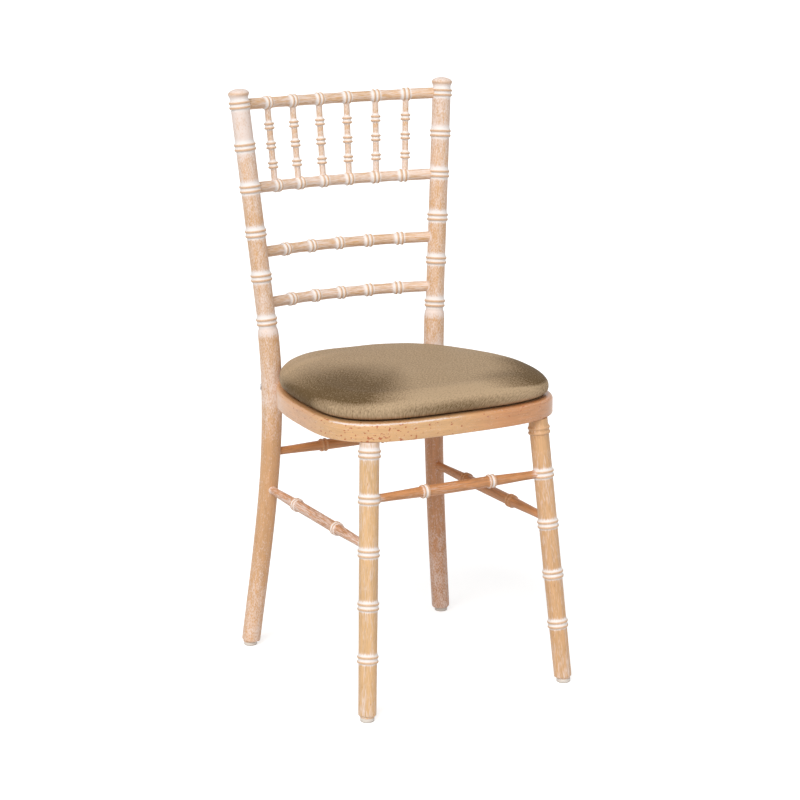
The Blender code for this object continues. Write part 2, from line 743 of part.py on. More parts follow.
def make_panel_screw(name, place, metal):
    stations = [
        (-SCREW_LENGTH, SCREW_TIP_RADIUS),
        (-SCREW_LENGTH + 2 * SCREW_RADIUS, SCREW_RADIUS),
        (-SCREW_HEAD_RADIUS + SCREW_RADIUS, SCREW_RADIUS),
        (0, SCREW_HEAD_RADIUS),
    ]
    loops = rod_loops(place, place + Vector((0, 0, 1)), stations, SPINDLE_SIDES, Vector((0, 1, 0)))
    return loft(name, loops, metal)


def make_seat_bolt(name, side, metal):
    centre, inward, depth = bolt_line(side)
    head = BOLT_SEAT + FIT_GAP
    tip = depth + HOOP_WIDTH + NUT_THICKNESS + FIT_GAP
    dome = dome_stations(head + BOLT_HEAD_RIM, BOLT_HEAD_RADIUS, BOLT_HEAD_HEIGHT - BOLT_HEAD_RIM)
    stations = [(-length, radius) for length, radius in reversed(dome)]
    stations += [(-head, BOLT_HEAD_RADIUS), (-head, BOLT_RADIUS), (tip, BOLT_RADIUS)]
    loops = rod_loops(centre, centre + inward, stations, RAIL_SIDES, Vector((0, 0, 1)))
    return loft(name, loops, metal)


def make_seat_nut(name, side, metal):
    centre, inward, depth = bolt_line(side)
    start = depth + HOOP_WIDTH - NUT_SEAT_DEPTH + FIT_GAP
    stations = [(start, NUT_RADIUS), (start + NUT_THICKNESS - NUT_CHAMFER, NUT_RADIUS),
                (start + NUT_THICKNESS, NUT_RADIUS - NUT_CHAMFER)]
    nut = loft(name, rod_loops(centre, centre + inward, stations, BORE_SIDES, Vector((0, 0, 1))), metal)
    cut(nut, [bore_loops(centre, centre + inward * (start + 2 * NUT_THICKNESS), BOLT_RADIUS)])
    return nut


def nail_bore(foot):
    """The pilot bore for a glide's nail, upright in the middle of a foot."""
    low = Vector((foot.x, foot.y, 0))
    return bore_loops(low, low + Vector((0, 0, NAIL_LENGTH + FIT_GAP)), NAIL_RADIUS)


def make_glide(name, foot, plastic):
    stations = [
        (0, GLIDE_RADIUS - GLIDE_EDGE),
        (GLIDE_EDGE, GLIDE_RADIUS),
        (GLIDE_HEIGHT, GLIDE_RADIUS),
    ]
    up = Vector((0, 0, 1))
    glide = loft(name, rod_loops(foot, foot + up, stations, LATHE_SIDES, Vector((0, 1, 0))), plastic)
    head_top = NAIL_RECESS + NAIL_HEAD_HEIGHT + FIT_GAP
    radii = (bore_radius(NAIL_HEAD_RADIUS), bore_radius(NAIL_RADIUS))
    recess = [(-GLIDE_EDGE, radii[0]), (head_top, radii[0]), (head_top, radii[1]),
              (2 * GLIDE_HEIGHT, radii[1])]
    cut(glide, [rod_loops(foot, foot + up, recess, BORE_SIDES, Vector((0, 1, 0)))])
    return glide


def make_nail(name, foot, metal):
    stations = [
        (NAIL_RECESS, NAIL_HEAD_RADIUS),
        (NAIL_RECESS + NAIL_HEAD_HEIGHT, NAIL_HEAD_RADIUS),
        (NAIL_RECESS + NAIL_HEAD_HEIGHT, NAIL_RADIUS),
        (NAIL_LENGTH - 2 * NAIL_RADIUS, NAIL_RADIUS),
        (NAIL_LENGTH, NAIL_TIP_RADIUS),
    ]
    up = Vector((0, 0, 1))
    return loft(name, rod_loops(foot, foot + up, stations, SPINDLE_SIDES, Vector((0, 1, 0))), metal)


# Seat pad

def pad_profile():
    """Insets and heights of the cover's outer face, from its hem to its crown."""
    rows = []
    for step in range(PAD_UNDER_STEPS):
        angle = math.pi / 2 * step / PAD_UNDER_STEPS
        rows.append((PAD_UNDERCUT * (1 - math.sin(angle)), PAD_WIDEST_RISE * (1 - math.cos(angle))))
    power = 2 / PAD_EDGE_POWER
    rise = PAD_EDGE_HEIGHT - PAD_WIDEST_RISE
    for step in range(PAD_EDGE_STEPS + 1):
        angle = math.pi / 2 * step / PAD_EDGE_STEPS
        across = max(0.0, math.cos(angle)) ** power
        rows.append((PAD_EDGE_WIDTH * (1 - across), PAD_WIDEST_RISE + rise * math.sin(angle) ** power))
    for step in range(1, PAD_CROWN_STEPS + 1):
        share = step / PAD_CROWN_STEPS
        rows.append((PAD_EDGE_WIDTH + PAD_CROWN_WIDTH * share,
                     PAD_EDGE_HEIGHT + PAD_CROWN_RISE * math.sin(share * math.pi / 2)))
    return [(PAD_INSET + inset, COVER_BOTTOM + height) for inset, height in rows]


def offset_profile(profile, distance):
    """Move a profile inwards along its own normals."""
    moved = []
    for index, (inset, height) in enumerate(profile):
        before = profile[max(index - 1, 0)]
        after = profile[min(index + 1, len(profile) - 1)]
        run = after[0] - before[0]
        rise = after[1] - before[1]
        length = math.hypot(run, rise)
        moved.append((inset + distance * rise / length, height - distance * run / length))
    return moved


def make_pad_cover(name, cloth):
    outer = pad_profile()
    hem_top = COVER_BOTTOM + CLOTH_THICKNESS
    lining = [row for row in offset_profile(outer, CLOTH_THICKNESS)
              if row[1] > hem_top + CLOTH_THICKNESS / 2]
    rows = [(HEM_INSET, COVER_BOTTOM)] + outer
    rows_back = list(reversed(lining)) + [(outer[0][0] + CLOTH_THICKNESS, hem_top), (HEM_INSET, hem_top)]
    outside = [pad_loop(inset, height) for inset, height in rows]
    inside = [pad_loop(inset, height) for inset, height in rows_back]
    mesh_data = bmesh.new()
    rings = [[mesh_data.verts.new(point) for point in loop] for loop in outside + inside]
    crown = len(outside) - 1
    for number in range(len(rings)):
        lower = rings[number]
        upper = rings[(number + 1) % len(rings)]
        if number == crown:
            mesh_data.faces.new(lower)
            mesh_data.faces.new(list(reversed(upper)))
            continue
        for index in range(SEAT_POINTS):
            after = (index + 1) % SEAT_POINTS
            mesh_data.faces.new((lower[index], lower[after], upper[after], upper[index]))
    return finish_mesh(name, mesh_data, cloth)


def make_pad_foam(name, foam):
    board_top = BOARD_BOTTOM + BOARD_THICKNESS + FIT_GAP
    inner = offset_profile(pad_profile(), CLOTH_THICKNESS + 2 * FIT_GAP)
    rows = [(BOARD_INSET, board_top)]
    rows += [row for row in inner if row[1] > board_top + FIT_GAP]
    return loft(name, [pad_loop(inset, height) for inset, height in rows], foam)


def make_pad_board(name, wood):
    top = BOARD_BOTTOM + BOARD_THICKNESS
    return loft(name, [pad_loop(BOARD_INSET, BOARD_BOTTOM), pad_loop(BOARD_INSET, top)], wood)


def make_tape(name, side, bottom, tape):
    across = TAPE_WIDTH / 2
    along = TAPE_LENGTH / 2
    corners = [(-across, -along), (across, -along), (across, along), (-across, along)]
    loops = [[Vector((side * TAPE_X + x, SEAT_MIDDLE_Y + y, height)) for x, y in corners]
             for height in (bottom, bottom + TAPE_THICKNESS)]
    return loft(name, loops, tape)


def build():
    for old in list(bpy.data.objects):
        bpy.data.objects.remove(old)
    limed = make_material("limed_beech", (0.62, 0.46, 0.33), 0.55)
    beech = make_material("natural_beech", (0.62, 0.38, 0.19), 0.4)
    ply = make_material("plywood", (0.60, 0.45, 0.28), 0.7)
    cloth = make_material("olive_cloth", (0.26, 0.20, 0.12), 0.6)
    foam = make_material("foam", (0.75, 0.70, 0.50), 0.9)
    tape = make_material("hook_and_loop_tape", (0.05, 0.05, 0.05), 0.9)
    steel = make_material("zinc_steel", (0.62, 0.62, 0.63), 0.35, 1.0)
    nylon = make_material("pale_nylon", (0.68, 0.66, 0.62), 0.45)

    for label, side in (("left", -1), ("right", 1)):
        make_rear_post("rear_post_" + label, side, limed)
        make_front_leg("front_leg_" + label, side, limed)
        make_seat_bolt("seat_bolt_" + label, side, steel)
        make_seat_nut("seat_nut_" + label, side, steel)
        for place, point in (("front", leg_point(side, 0)), ("rear", post_point(side, 0))):
            make_glide(f"glide_{place}_{label}", point, nylon)
            make_nail(f"glide_nail_{place}_{label}", point, steel)
        make_stretcher("side_stretcher_" + label, post_point(side, SIDE_STRETCHER_REAR),
                       leg_point(side, SIDE_STRETCHER_FRONT), SIDE_RING_INSET, limed)
        hook_bottom = PANEL_TOP + FIT_GAP
        make_tape("hook_tape_" + label, side, hook_bottom, tape)
        make_tape("loop_tape_" + label, side, hook_bottom + TAPE_THICKNESS + FIT_GAP, tape)

    make_stretcher("front_stretcher", leg_point(-1, FRONT_STRETCHER_HEIGHT),
                   leg_point(1, FRONT_STRETCHER_HEIGHT), CROSS_RING_INSET, limed)
    make_stretcher("rear_stretcher", post_point(-1, REAR_STRETCHER_HEIGHT),
                   post_point(1, REAR_STRETCHER_HEIGHT), CROSS_RING_INSET, limed)

    make_rail("top_rail", TOP_RING_HEIGHT, spindle_shares(), limed, spindles=-1)
    make_rail("spindle_rail", SPINDLE_RAIL_HEIGHT, spindle_shares(), limed, spindles=1)
    make_rail("middle_rail", MIDDLE_RAIL_HEIGHT, ladder_shares(MIDDLE_RAIL_HEIGHT), limed)
    make_rail("lower_rail", LOWER_RAIL_HEIGHT, ladder_shares(LOWER_RAIL_HEIGHT), limed)
    for number, share in enumerate(spindle_shares(), start=1):
        make_spindle(f"spindle_{number}", share, limed)

    make_seat_hoop("seat_hoop", beech)
    make_seat_panel("seat_panel", ply)
    for number, place in enumerate(screw_places(), start=1):
        make_panel_screw(f"panel_screw_{number}", place, steel)

    make_pad_board("pad_board", ply)
    make_pad_foam("pad_foam", foam)
    make_pad_cover("pad_cover", cloth)


build()
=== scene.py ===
"""Dressed model of a limed beech dining chair with a loose upholstered seat pad.

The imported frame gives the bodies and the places. The pieces made here are the same chair
with its double rings finely turned, its seat hoop rounded over, its pad stuffed and
covered, and every surface finished.
Metres, +Z up, +Y towards the back, +X to the right of someone who faces the chair.
"""

import math

import bmesh
import bpy
import numpy as np
from bpy.props import FloatProperty, FloatVectorProperty, IntProperty, PointerProperty
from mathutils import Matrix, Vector


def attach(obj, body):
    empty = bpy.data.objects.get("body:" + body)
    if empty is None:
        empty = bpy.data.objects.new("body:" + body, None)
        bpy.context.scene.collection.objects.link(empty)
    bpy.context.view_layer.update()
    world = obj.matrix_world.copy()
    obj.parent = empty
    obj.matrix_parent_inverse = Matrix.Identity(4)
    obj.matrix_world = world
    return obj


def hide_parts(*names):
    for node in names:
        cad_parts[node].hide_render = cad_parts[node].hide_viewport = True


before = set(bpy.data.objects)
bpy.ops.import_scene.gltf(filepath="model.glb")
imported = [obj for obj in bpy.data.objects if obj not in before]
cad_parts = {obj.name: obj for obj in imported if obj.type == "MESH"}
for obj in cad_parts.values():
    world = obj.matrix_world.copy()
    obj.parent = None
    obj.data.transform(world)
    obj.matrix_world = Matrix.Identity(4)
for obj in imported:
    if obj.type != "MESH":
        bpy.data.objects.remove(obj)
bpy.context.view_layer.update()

bl_info = {
    "name": "Limed Beech Dining Chair",
    "version": (1, 0, 0),
    "blender": (4, 5, 0),
    "location": "3D View > Sidebar > Chair",
    "description": "Makes a limed beech dining chair with a stuffed seat pad, piece by piece",
    "category": "Add Mesh",
}

# Feet and front legs
FIT_GAP = 0.0003
FRONT_FOOT_X = 0.1757
FRONT_FOOT_Y = -0.21918
GLIDE_HEIGHT = 0.0065
GLIDE_RADIUS = 0.0108
GLIDE_EDGE = 0.0016
NAIL_HEAD_RADIUS = 0.0036
NAIL_HEAD_TOP = 0.0030
LEG_LEAN_X = 0.0280
LEG_LEAN_Y = 0.0421
LEG_FOOT_RADIUS = 0.0138
LEG_TOP_RADIUS = 0.0151
LEG_FIRST_RING = 0.0949
LEG_RING_PITCH = 0.0803
LEG_LOWER_RINGS = 4
LEG_TOP_RING = 0.4044
FOOT_CHAMFER_HEIGHT = 0.0042
FOOT_CHAMFER = 0.0028
FOOT_BOTTOM = GLIDE_HEIGHT + FIT_GAP

# Rear posts
REAR_FOOT_X = 0.1814
REAR_FOOT_Y = FRONT_FOOT_Y + 0.3966
KNEE_X = 0.1542
KNEE_Y = FRONT_FOOT_Y + 0.3745
KNEE_HEIGHT = 0.5455
POST_SLOPE_X = 0.0816
POST_SLOPE_Y = 0.0831
FOOT_SLOPE_X = 0.107
FOOT_SLOPE_Y = 0.075
POST_RADIUS = 0.0149
POST_NECK_RADIUS = 0.0145
POST_SHOULDER_RADIUS = 0.0167
POST_SHOULDER_DROP = 0.026
POST_SHIN_RADIUS = 0.0155
POST_SHIN_HEIGHT = 0.29
POST_FOOT_RADIUS = 0.0150
LOWER_RING_PITCH = 0.0706
UPPER_RING_PITCH = 0.0656
SPINDLE_RAIL_HEIGHT = KNEE_HEIGHT + 3 * LOWER_RING_PITCH
TOP_RAIL_HEIGHT = SPINDLE_RAIL_HEIGHT + 2 * UPPER_RING_PITCH
MIDDLE_RAIL_HEIGHT = KNEE_HEIGHT + 0.1093
LOWER_RAIL_HEIGHT = KNEE_HEIGHT + 0.0283
FINIAL_NECK_RADIUS = 0.0139
FINIAL_RADIUS = 0.0167
FINIAL_RISE = 0.0162
FINIAL_DOME = 0.0088
FINIAL_START = 0.005
FINIAL_FLARE_POWER = 2.2
FINIAL_DOME_POWER = 2.3
FINIAL_RIM_RISE = 0.0015
FINIAL_RIM_WIDTH = 0.0022
POST_SHOULDER_SHARE = 0.55
TURNING_MARGIN = 0.003

# Rails, spindles and stretchers
RAIL_BOW = 0.0373
RAIL_RADIUS = 0.0088
RAIL_WAIST_RADIUS = 0.0083
RAIL_BEAD_RADIUS = 0.0109
LADDER_END = 0.0585
LADDER_RINGS = 5
SPINDLE_COUNT = 6
SPINDLE_END = 0.0565
SPINDLE_RADIUS = 0.0049
SPINDLE_BEAD_RADIUS = 0.0082
SPINDLE_RING_PITCH = 0.0311
SPINDLE_RING_DROP = 0.0020
SPINDLE_STOP = 0.0030
FRONT_STRETCHER_HEIGHT = 0.3354
REAR_STRETCHER_HEIGHT = 0.3300
SIDE_STRETCHER_FRONT = 0.2635
SIDE_STRETCHER_REAR = 0.2696
STRETCHER_END_RADIUS = 0.0063
STRETCHER_RADIUS = 0.0086
STRETCHER_BEAD_RADIUS = 0.0108
CROSS_RING_INSET = 0.0950
SIDE_RING_INSET = 0.1050
TENON_STOP = 0.0040

# Seat hoop and its bolts
SEAT_BOTTOM = 0.4240
SEAT_TOP = SEAT_BOTTOM + 0.0285
HOOP_WIDTH = 0.0240
HOOP_EDGE = 0.0006
HOOP_LOWER_ROUND = 0.0022
HOOP_UPPER_ROUND = 0.0058
REBATE_WIDTH = 0.0080
REBATE_DEPTH = 0.0063
SEAT_HALF_WIDTH = 0.1980
SEAT_FRONT_Y = FRONT_FOOT_Y + 0.0095
SEAT_REAR_REACH = 0.0377
SEAT_WIDEST_Y = FRONT_FOOT_Y + 0.1745
SEAT_FRONT_POWER = 3.39
SEAT_REAR_POWER = 2.70
SEAT_TAPER_SHARE = 0.143
BOLT_HEIGHT = SEAT_BOTTOM + 0.0135
BOLT_SEAT = 0.0161
BOLT_RADIUS = 0.0030
BOLT_HEAD_RADIUS = 0.0060
BOLT_HEAD_HEIGHT = 0.0034
BOLT_HEAD_RIM = 0.0008
NUT_THICKNESS = 0.0040

# Seat pad
COVER_BOTTOM = 0.4551
CLOTH_THICKNESS = 0.0012
BOARD_TOP = 0.4616
BOARD_INSET = 0.0200
HEM_INSET = 0.0480
PAD_INSET = 0.0050
PAD_UNDERCUT = 0.0075
PAD_WIDEST_RISE = 0.0105
PAD_EDGE_WIDTH = 0.0500
PAD_EDGE_HEIGHT = 0.0355
PAD_EDGE_POWER = 2.60
PAD_CROWN_WIDTH = 0.0800
PAD_CROWN_RISE = 0.0045
PAD_CENTRE_WIDTH = 0.0350
PAD_CENTRE_RISE = 0.0002
PAD_FREE_LOW = 0.014
PAD_FREE_HIGH = 0.024

# Section of a double ring: the foot is short and low, the flare long and high, and the
# lime reaches further on the flare's side
RING_FOOT_SHARE = 0.6
RING_FOOT_HEIGHT = 0.32
RING_FLARE_EXTRA_HEIGHT = 0.50
RING_FLARE_POWER = 1.5
RING_CREST_POWER = 4.0
RING_FOOT_LIME_SHARE = 0.65
RING_LIME_START = 0.001

# Mesh fineness
FINE_STEP = 0.0005
SHAFT_STEP = 0.0030
RING_REACH = 0.0115
CLOSEST_STEP = FINE_STEP * 0.4
HOOP_POINTS = 300
PAD_POINTS = 120
OUTLINE_STEPS = 2880
CORNER_LENGTH = 0.10
SHARP_ANGLE = math.radians(38)
PAD_VOXEL = 0.005
POLE_RADIUS = 0.0003
SWELL_FRAMES = 20
SWELL_GAIN = 3
EVENING_ROUNDS = 24

# Lime that stays where a piece enters a post or leg
JOINT_LIME = 0.85
JOINT_LIME_REACH = 0.0052
JOINT_LIME_FADE = 0.0045
JOINT_LIME_DEPTH = 0.03

# Camera, as fitted to the photograph, and floor
CAMERA_PLACE = (-1.7518, -3.1612, 1.3093)
CAMERA_DROP = 0.2384
CAMERA_TURN = -0.5066
FLOOR_REACH = 60.0
FLOOR_GLOW = 0.62


def screen_colour(red, green, blue):
    """A colour given as it looks on a screen, from 0 to 255, as linear values."""
    values = []
    for level in (red, green, blue):
        share = level / 255
        values.append(share / 12.92 if share <= 0.04045 else ((share + 0.055) / 1.055) ** 2.4)
    return tuple(values)


def colour_setting(label, purpose, *levels):
    """A colour setting, given as it looks on a screen."""
    return FloatVectorProperty(
        name=label, description=purpose, subtype="COLOR", default=screen_colour(*levels), min=0.0, max=1.0)


def length_setting(label, purpose, metres):
    """A length setting."""
    return FloatProperty(name=label, description=purpose, default=metres, unit="LENGTH")


# Sizes and colours that a user would change

class TurningSizes(bpy.types.PropertyGroup):
    sides: IntProperty(
        name="Sides", description="Faces round each turned piece", default=48, min=12, max=96)
    bead_width: length_setting("Bead width", "Half the width of one bead of a double ring", 0.0026)
    bead_spacing: length_setting("Bead spacing", "Distance between the two beads of a ring", 0.0075)
    ring_rise: length_setting("Ring rise", "How far the beads stand out of a post or leg", 0.0023)
    groove_share: FloatProperty(
        name="Groove share", description="Height of the groove's floor, as a share of the beads",
        default=0.42, subtype="FACTOR", min=0.0, max=1.0)
    flare_length: length_setting("Flare length", "Length of the hollow flare beside a ring", 0.0070)
    lime_reach: length_setting("Lime reach", "How far the lime spreads from a ring along a post", 0.0170)


class WoodFinish(bpy.types.PropertyGroup):
    beech: colour_setting("Beech", "Colour of the plain wood", 230, 186, 135)
    fleck: colour_setting("Fleck", "Colour of the short dark flecks", 186, 124, 76)
    lime: colour_setting("Lime", "Colour of the lime left in the grooves", 245, 237, 232)
    wash: colour_setting("Lime wash", "Colour of the thin lime on the shafts", 242, 224, 214)
    rubbed: colour_setting("Rubbed bead", "Colour of the beads where the lime is rubbed off", 221, 176, 133)
    hoop: colour_setting("Seat hoop", "Colour of the seat hoop's oiled wood", 229, 179, 125)
    # The stretchers' warmer wood is also the colour of the seat hoop's painted shade
    stretcher: colour_setting("Stretcher", "Colour of the stretchers' warmer wood", 214, 149, 97)
    hoop_fleck: colour_setting("Hoop fleck", "Colour of the broad flecks on the seat hoop", 184, 102, 54)
    # The redder wood is also the colour of painted shade on the right rear post and the right front leg
    warm: colour_setting("Redder wood", "Colour of the redder wood low on the back legs", 208, 149, 106)


class PadFinish(bpy.types.PropertyGroup):
    # The cloth colour is the lit end, and the shaded colour the dark end, of the painted highlight and
    # painted shade over the pad
    cloth: colour_setting("Cloth", "Colour of the pad's satin cloth where its nap is lit", 194, 167, 134)
    shade: colour_setting("Shaded nap", "Colour where the nap lies the other way", 98, 76, 45)
    shrink: length_setting("Shrink", "How much lower the pad starts before it swells", 0.0025)
    swell_limit: length_setting("Swell limit", "Furthest that the stuffing may push the cloth", 0.0030)
    pressure: FloatProperty(
        name="Pressure", description="Pressure of the stuffing", default=4.0)


class StageLook(bpy.types.PropertyGroup):
    floor: FloatVectorProperty(
        name="Floor", description="Colour of the floor", subtype="COLOR",
        default=(0.74, 0.74, 0.74), min=0.0, max=1.0)
    key_strength: FloatProperty(
        name="Key light", description="Strength of the soft light from the left", default=1.80)
    front_strength: FloatProperty(
        name="Front light", description="Strength of the soft light beside the camera", default=0.50)
    surround: FloatProperty(
        name="Surround", description="Strength of the light from all round", default=0.39)
    lens: FloatProperty(
        name="Lens", description="Focal length of the camera", default=105.9295,
        subtype="DISTANCE_CAMERA")


# Centre lines and outline, as the frame has them

def leg_point(side, height):
    """The centre of a front leg at a height."""
    share = height / SEAT_BOTTOM
    return Vector((side * (FRONT_FOOT_X - LEG_LEAN_X * share), FRONT_FOOT_Y + LEG_LEAN_Y * share, height))


def curve_below_knee(foot, knee, foot_slope, knee_slope, height):
    """One coordinate of the lower post: a cubic with a set slope at both ends."""
    share = height / KNEE_HEIGHT
    square = share * share
    cube = square * share
    value = foot * (2 * cube - 3 * square + 1) + knee * (3 * square - 2 * cube)
    value += foot_slope * KNEE_HEIGHT * (cube - 2 * square + share)
    return value + knee_slope * KNEE_HEIGHT * (cube - square)


def post_point(side, height):
    """The centre of a rear post at a height."""
    if height >= KNEE_HEIGHT:
        across = KNEE_X + POST_SLOPE_X * (height - KNEE_HEIGHT)
        depth = KNEE_Y + POST_SLOPE_Y * (height - KNEE_HEIGHT)
    else:
        across = curve_below_knee(REAR_FOOT_X, KNEE_X, -FOOT_SLOPE_X, POST_SLOPE_X, height)
        depth = curve_below_knee(REAR_FOOT_Y, KNEE_Y, -FOOT_SLOPE_Y, POST_SLOPE_Y, height)
    return Vector((side * across, depth, height))


def rail_point(height, share):
    """A point on a bowed rail's centre line; share runs from the left post to the right."""
    back = Vector((0, 1, -POST_SLOPE_Y)).normalized()
    straight = post_point(-1, height).lerp(post_point(1, height), share)
    return straight + back * (RAIL_BOW * (1 - (2 * share - 1) ** 2))


def rail_span(height):
    return 2 * post_point(1, height).x


SEAT_REAR_Y = post_point(1, SEAT_BOTTOM).y + SEAT_REAR_REACH
SEAT_MIDDLE_Y = (SEAT_FRONT_Y + SEAT_REAR_Y) / 2
SEAT_HALF_DEPTH = (SEAT_REAR_Y - SEAT_FRONT_Y) / 2


def seat_curve(angle):
    """A point of the seat's outer edge; the angle runs round the middle of the seat."""
    across = math.cos(angle)
    along = math.sin(angle)
    front = along < 0
    reach = SEAT_WIDEST_Y - SEAT_FRONT_Y if front else SEAT_REAR_Y - SEAT_WIDEST_Y
    power = 2 / (SEAT_FRONT_POWER if front else SEAT_REAR_POWER)
    width = math.copysign(abs(across) ** power, across)
    depth = reach * math.copysign(abs(along) ** power, along)
    taper = 1 - SEAT_TAPER_SHARE * depth / (2 * SEAT_HALF_DEPTH)
    return Vector((SEAT_HALF_WIDTH * width * taper, SEAT_WIDEST_Y + depth, 0))


def seat_outline(count):
    """Points of the seat outline from the front middle, closer together round its corners."""
    points = [seat_curve(2 * math.pi * index / OUTLINE_STEPS - math.pi / 2)
              for index in range(OUTLINE_STEPS + 1)]
    lengths = [0.0]
    for index in range(OUTLINE_STEPS):
        forward = points[index + 1] - points[index]
        onward = points[(index + 2) % OUTLINE_STEPS] - points[index + 1]
        bend = forward.angle(onward) if onward.length > 0 else 0.0
        lengths.append(lengths[-1] + forward.length + CORNER_LENGTH * bend)
    wanted = np.linspace(0, lengths[-1], count, endpoint=False)
    x = np.interp(wanted, lengths, [point.x for point in points])
    y = np.interp(wanted, lengths, [point.y for point in points])
    return np.column_stack((x, y))


def outline_near(target):
    """The point of the seat outline nearest to a place in plan, and the way inwards there."""
    flat = Vector((target.x, target.y, 0))
    points = [seat_curve(2 * math.pi * index / OUTLINE_STEPS) for index in range(OUTLINE_STEPS)]
    nearest = min(range(OUTLINE_STEPS), key=lambda index: (points[index] - flat).length)
    along = (points[(nearest + 1) % OUTLINE_STEPS] - points[nearest - 1]).normalized()
    return points[nearest], Vector((-along.y, along.x, 0))


# Node trees

def set_inputs(tree, node, inputs):
    """Set a node's inputs by name or number, or join them to the sockets given."""
    for key, value in inputs.items():
        if isinstance(value, bpy.types.NodeSocket):
            tree.links.new(value, node.inputs[key])
        else:
            node.inputs[key].default_value = value


def add_node(tree, kind, inputs=None, **settings):
    """Add a node, set its options, and set or join its inputs."""
    node = tree.nodes.new(kind)
    for option, value in settings.items():
        setattr(node, option, value)
    set_inputs(tree, node, inputs or {})
    return node


def calc(tree, operation, *values, clamp=False):
    """One sum on numbers or sockets."""
    inputs = dict(enumerate(values))
    return add_node(tree, "ShaderNodeMath", inputs, operation=operation, use_clamp=clamp).outputs[0]


def remap(tree, value, low, high, new_low=0.0, new_high=1.0, curve="LINEAR"):
    """Spread one range of a value over another, and hold it at the ends."""
    inputs = {0: value, 1: low, 2: high, 3: new_low, 4: new_high}
    return add_node(tree, "ShaderNodeMapRange", inputs, interpolation_type=curve).outputs[0]


def blend_colours(tree, share, first, second, mode="MIX"):
    inputs = {0: share, 6: first, 7: second}
    node = add_node(tree, "ShaderNodeMix", inputs, data_type="RGBA", blend_type=mode)
    return node.outputs[2]


def start_group(name, kind, inputs, outputs):
    """A node group and its two end nodes; an input is given by its default value or its kind."""
    tree = bpy.data.node_groups.new(name, kind)
    number_kinds = {float: "Float", int: "Int"}
    for label, given in inputs.items():
        socket_kind = number_kinds.get(type(given), given)
        socket = tree.interface.new_socket(
            label, in_out="INPUT", socket_type=f"NodeSocket{socket_kind}")
        if type(given) in number_kinds:
            socket.default_value = given
    for label, socket_kind in outputs.items():
        tree.interface.new_socket(label, in_out="OUTPUT", socket_type=f"NodeSocket{socket_kind}")
    return tree, tree.nodes.new("NodeGroupInput"), tree.nodes.new("NodeGroupOutput")


def use_group(tree, group, inputs):
    """Place a node group in a material or another group."""
    node = tree.nodes.new(tree.bl_idname.replace("NodeTree", "NodeGroup"))
    node.node_tree = group
    set_inputs(tree, node, inputs)
    return node


def read_value(tree, name, data_type="FLOAT"):
    """Read the value stored on every point under a name."""
    node = add_node(tree, "GeometryNodeInputNamedAttribute", {"Name": name}, data_type=data_type)
    return node.outputs["Attribute"]


def keep_value(tree, geometry, name, value, data_type="FLOAT"):
    """Store a value on every point under a name."""
    inputs = {"Geometry": geometry, "Name": name, "Value": value}
    node = add_node(tree, "GeometryNodeStoreNamedAttribute", inputs, data_type=data_type, domain="POINT")
    return node.outputs["Geometry"]


# Turned pieces: a tree that turns a line of stations into a ringed shape

def ring_distance(tree, place, start, pitch, count):
    """Signed distance to the nearest of a row of evenly spaced rings."""
    steps = calc(tree, "ROUND", calc(tree, "DIVIDE", calc(tree, "SUBTRACT", place, start), pitch))
    last = calc(tree, "SUBTRACT", count, 1.0)
    number = calc(tree, "MINIMUM", calc(tree, "MAXIMUM", steps, 0.0), last)
    ring = calc(tree, "ADD", start, calc(tree, "MULTIPLY", number, pitch))
    return calc(tree, "SUBTRACT", place, ring)


def bead_arc(tree, distance, offset, width):
    """Height of a round bead whose middle is at an offset, from 0 to 1."""
    away = calc(tree, "DIVIDE", calc(tree, "SUBTRACT", distance, offset), width)
    under = calc(tree, "SUBTRACT", 1.0, calc(tree, "MULTIPLY", away, away))
    return calc(tree, "SQRT", calc(tree, "MAXIMUM", under, 0.0))


def make_ring_profile():
    """The section of a double ring: flare, bead, groove, bead and a short foot."""
    tree, given, result = start_group("Double Ring Profile", "GeometryNodeTree", {
        "Distance": 0.0,
        "Bead Width": 0.003,
        "Bead Spacing": 0.007,
        "Groove Share": 0.4,
        "Flare Length": 0.006,
        "Lime Reach": 0.015,
    }, {"Rise": "Float", "Lime": "Float", "Crest": "Float"})
    distance = given.outputs["Distance"]
    width = given.outputs["Bead Width"]
    flare_length = given.outputs["Flare Length"]
    half = calc(tree, "MULTIPLY", given.outputs["Bead Spacing"], 0.5)
    upper = bead_arc(tree, distance, half, width)
    lower = bead_arc(tree, distance, calc(tree, "MULTIPLY", half, -1.0), width)
    bead = calc(tree, "MAXIMUM", upper, lower)
    size = calc(tree, "ABSOLUTE", distance)
    inside = calc(tree, "LESS_THAN", size, half)
    floor = calc(tree, "MULTIPLY", inside, given.outputs["Groove Share"])
    beyond = calc(tree, "SUBTRACT", size, half)
    flare_side = calc(tree, "GREATER_THAN", distance, 0.0)
    foot_length = calc(tree, "MULTIPLY", flare_length, RING_FOOT_SHARE)
    slope_length = calc(tree, "ADD", foot_length, calc(
        tree, "MULTIPLY", flare_side, calc(tree, "SUBTRACT", flare_length, foot_length)))
    slope_height = calc(tree, "MULTIPLY_ADD", flare_side, RING_FLARE_EXTRA_HEIGHT, RING_FOOT_HEIGHT)
    slope = calc(tree, "SUBTRACT", 1.0, calc(tree, "DIVIDE", beyond, slope_length), clamp=True)
    slope = calc(tree, "MULTIPLY", calc(tree, "POWER", slope, RING_FLARE_POWER), slope_height)
    slope = calc(tree, "MULTIPLY", slope, calc(tree, "SUBTRACT", 1.0, inside))
    rise = calc(tree, "MAXIMUM", bead, calc(tree, "ADD", floor, slope))
    reach_share = calc(tree, "MULTIPLY_ADD", flare_side, 1 - RING_FOOT_LIME_SHARE, RING_FOOT_LIME_SHARE)
    reach = calc(tree, "MULTIPLY", given.outputs["Lime Reach"], reach_share)
    lime = remap(tree, beyond, RING_LIME_START, reach, 1.0, 0.0, "SMOOTHSTEP")
    crest = calc(tree, "POWER", bead, RING_CREST_POWER)
    set_inputs(tree, result, {"Rise": rise, "Lime": lime, "Crest": crest})
    return tree


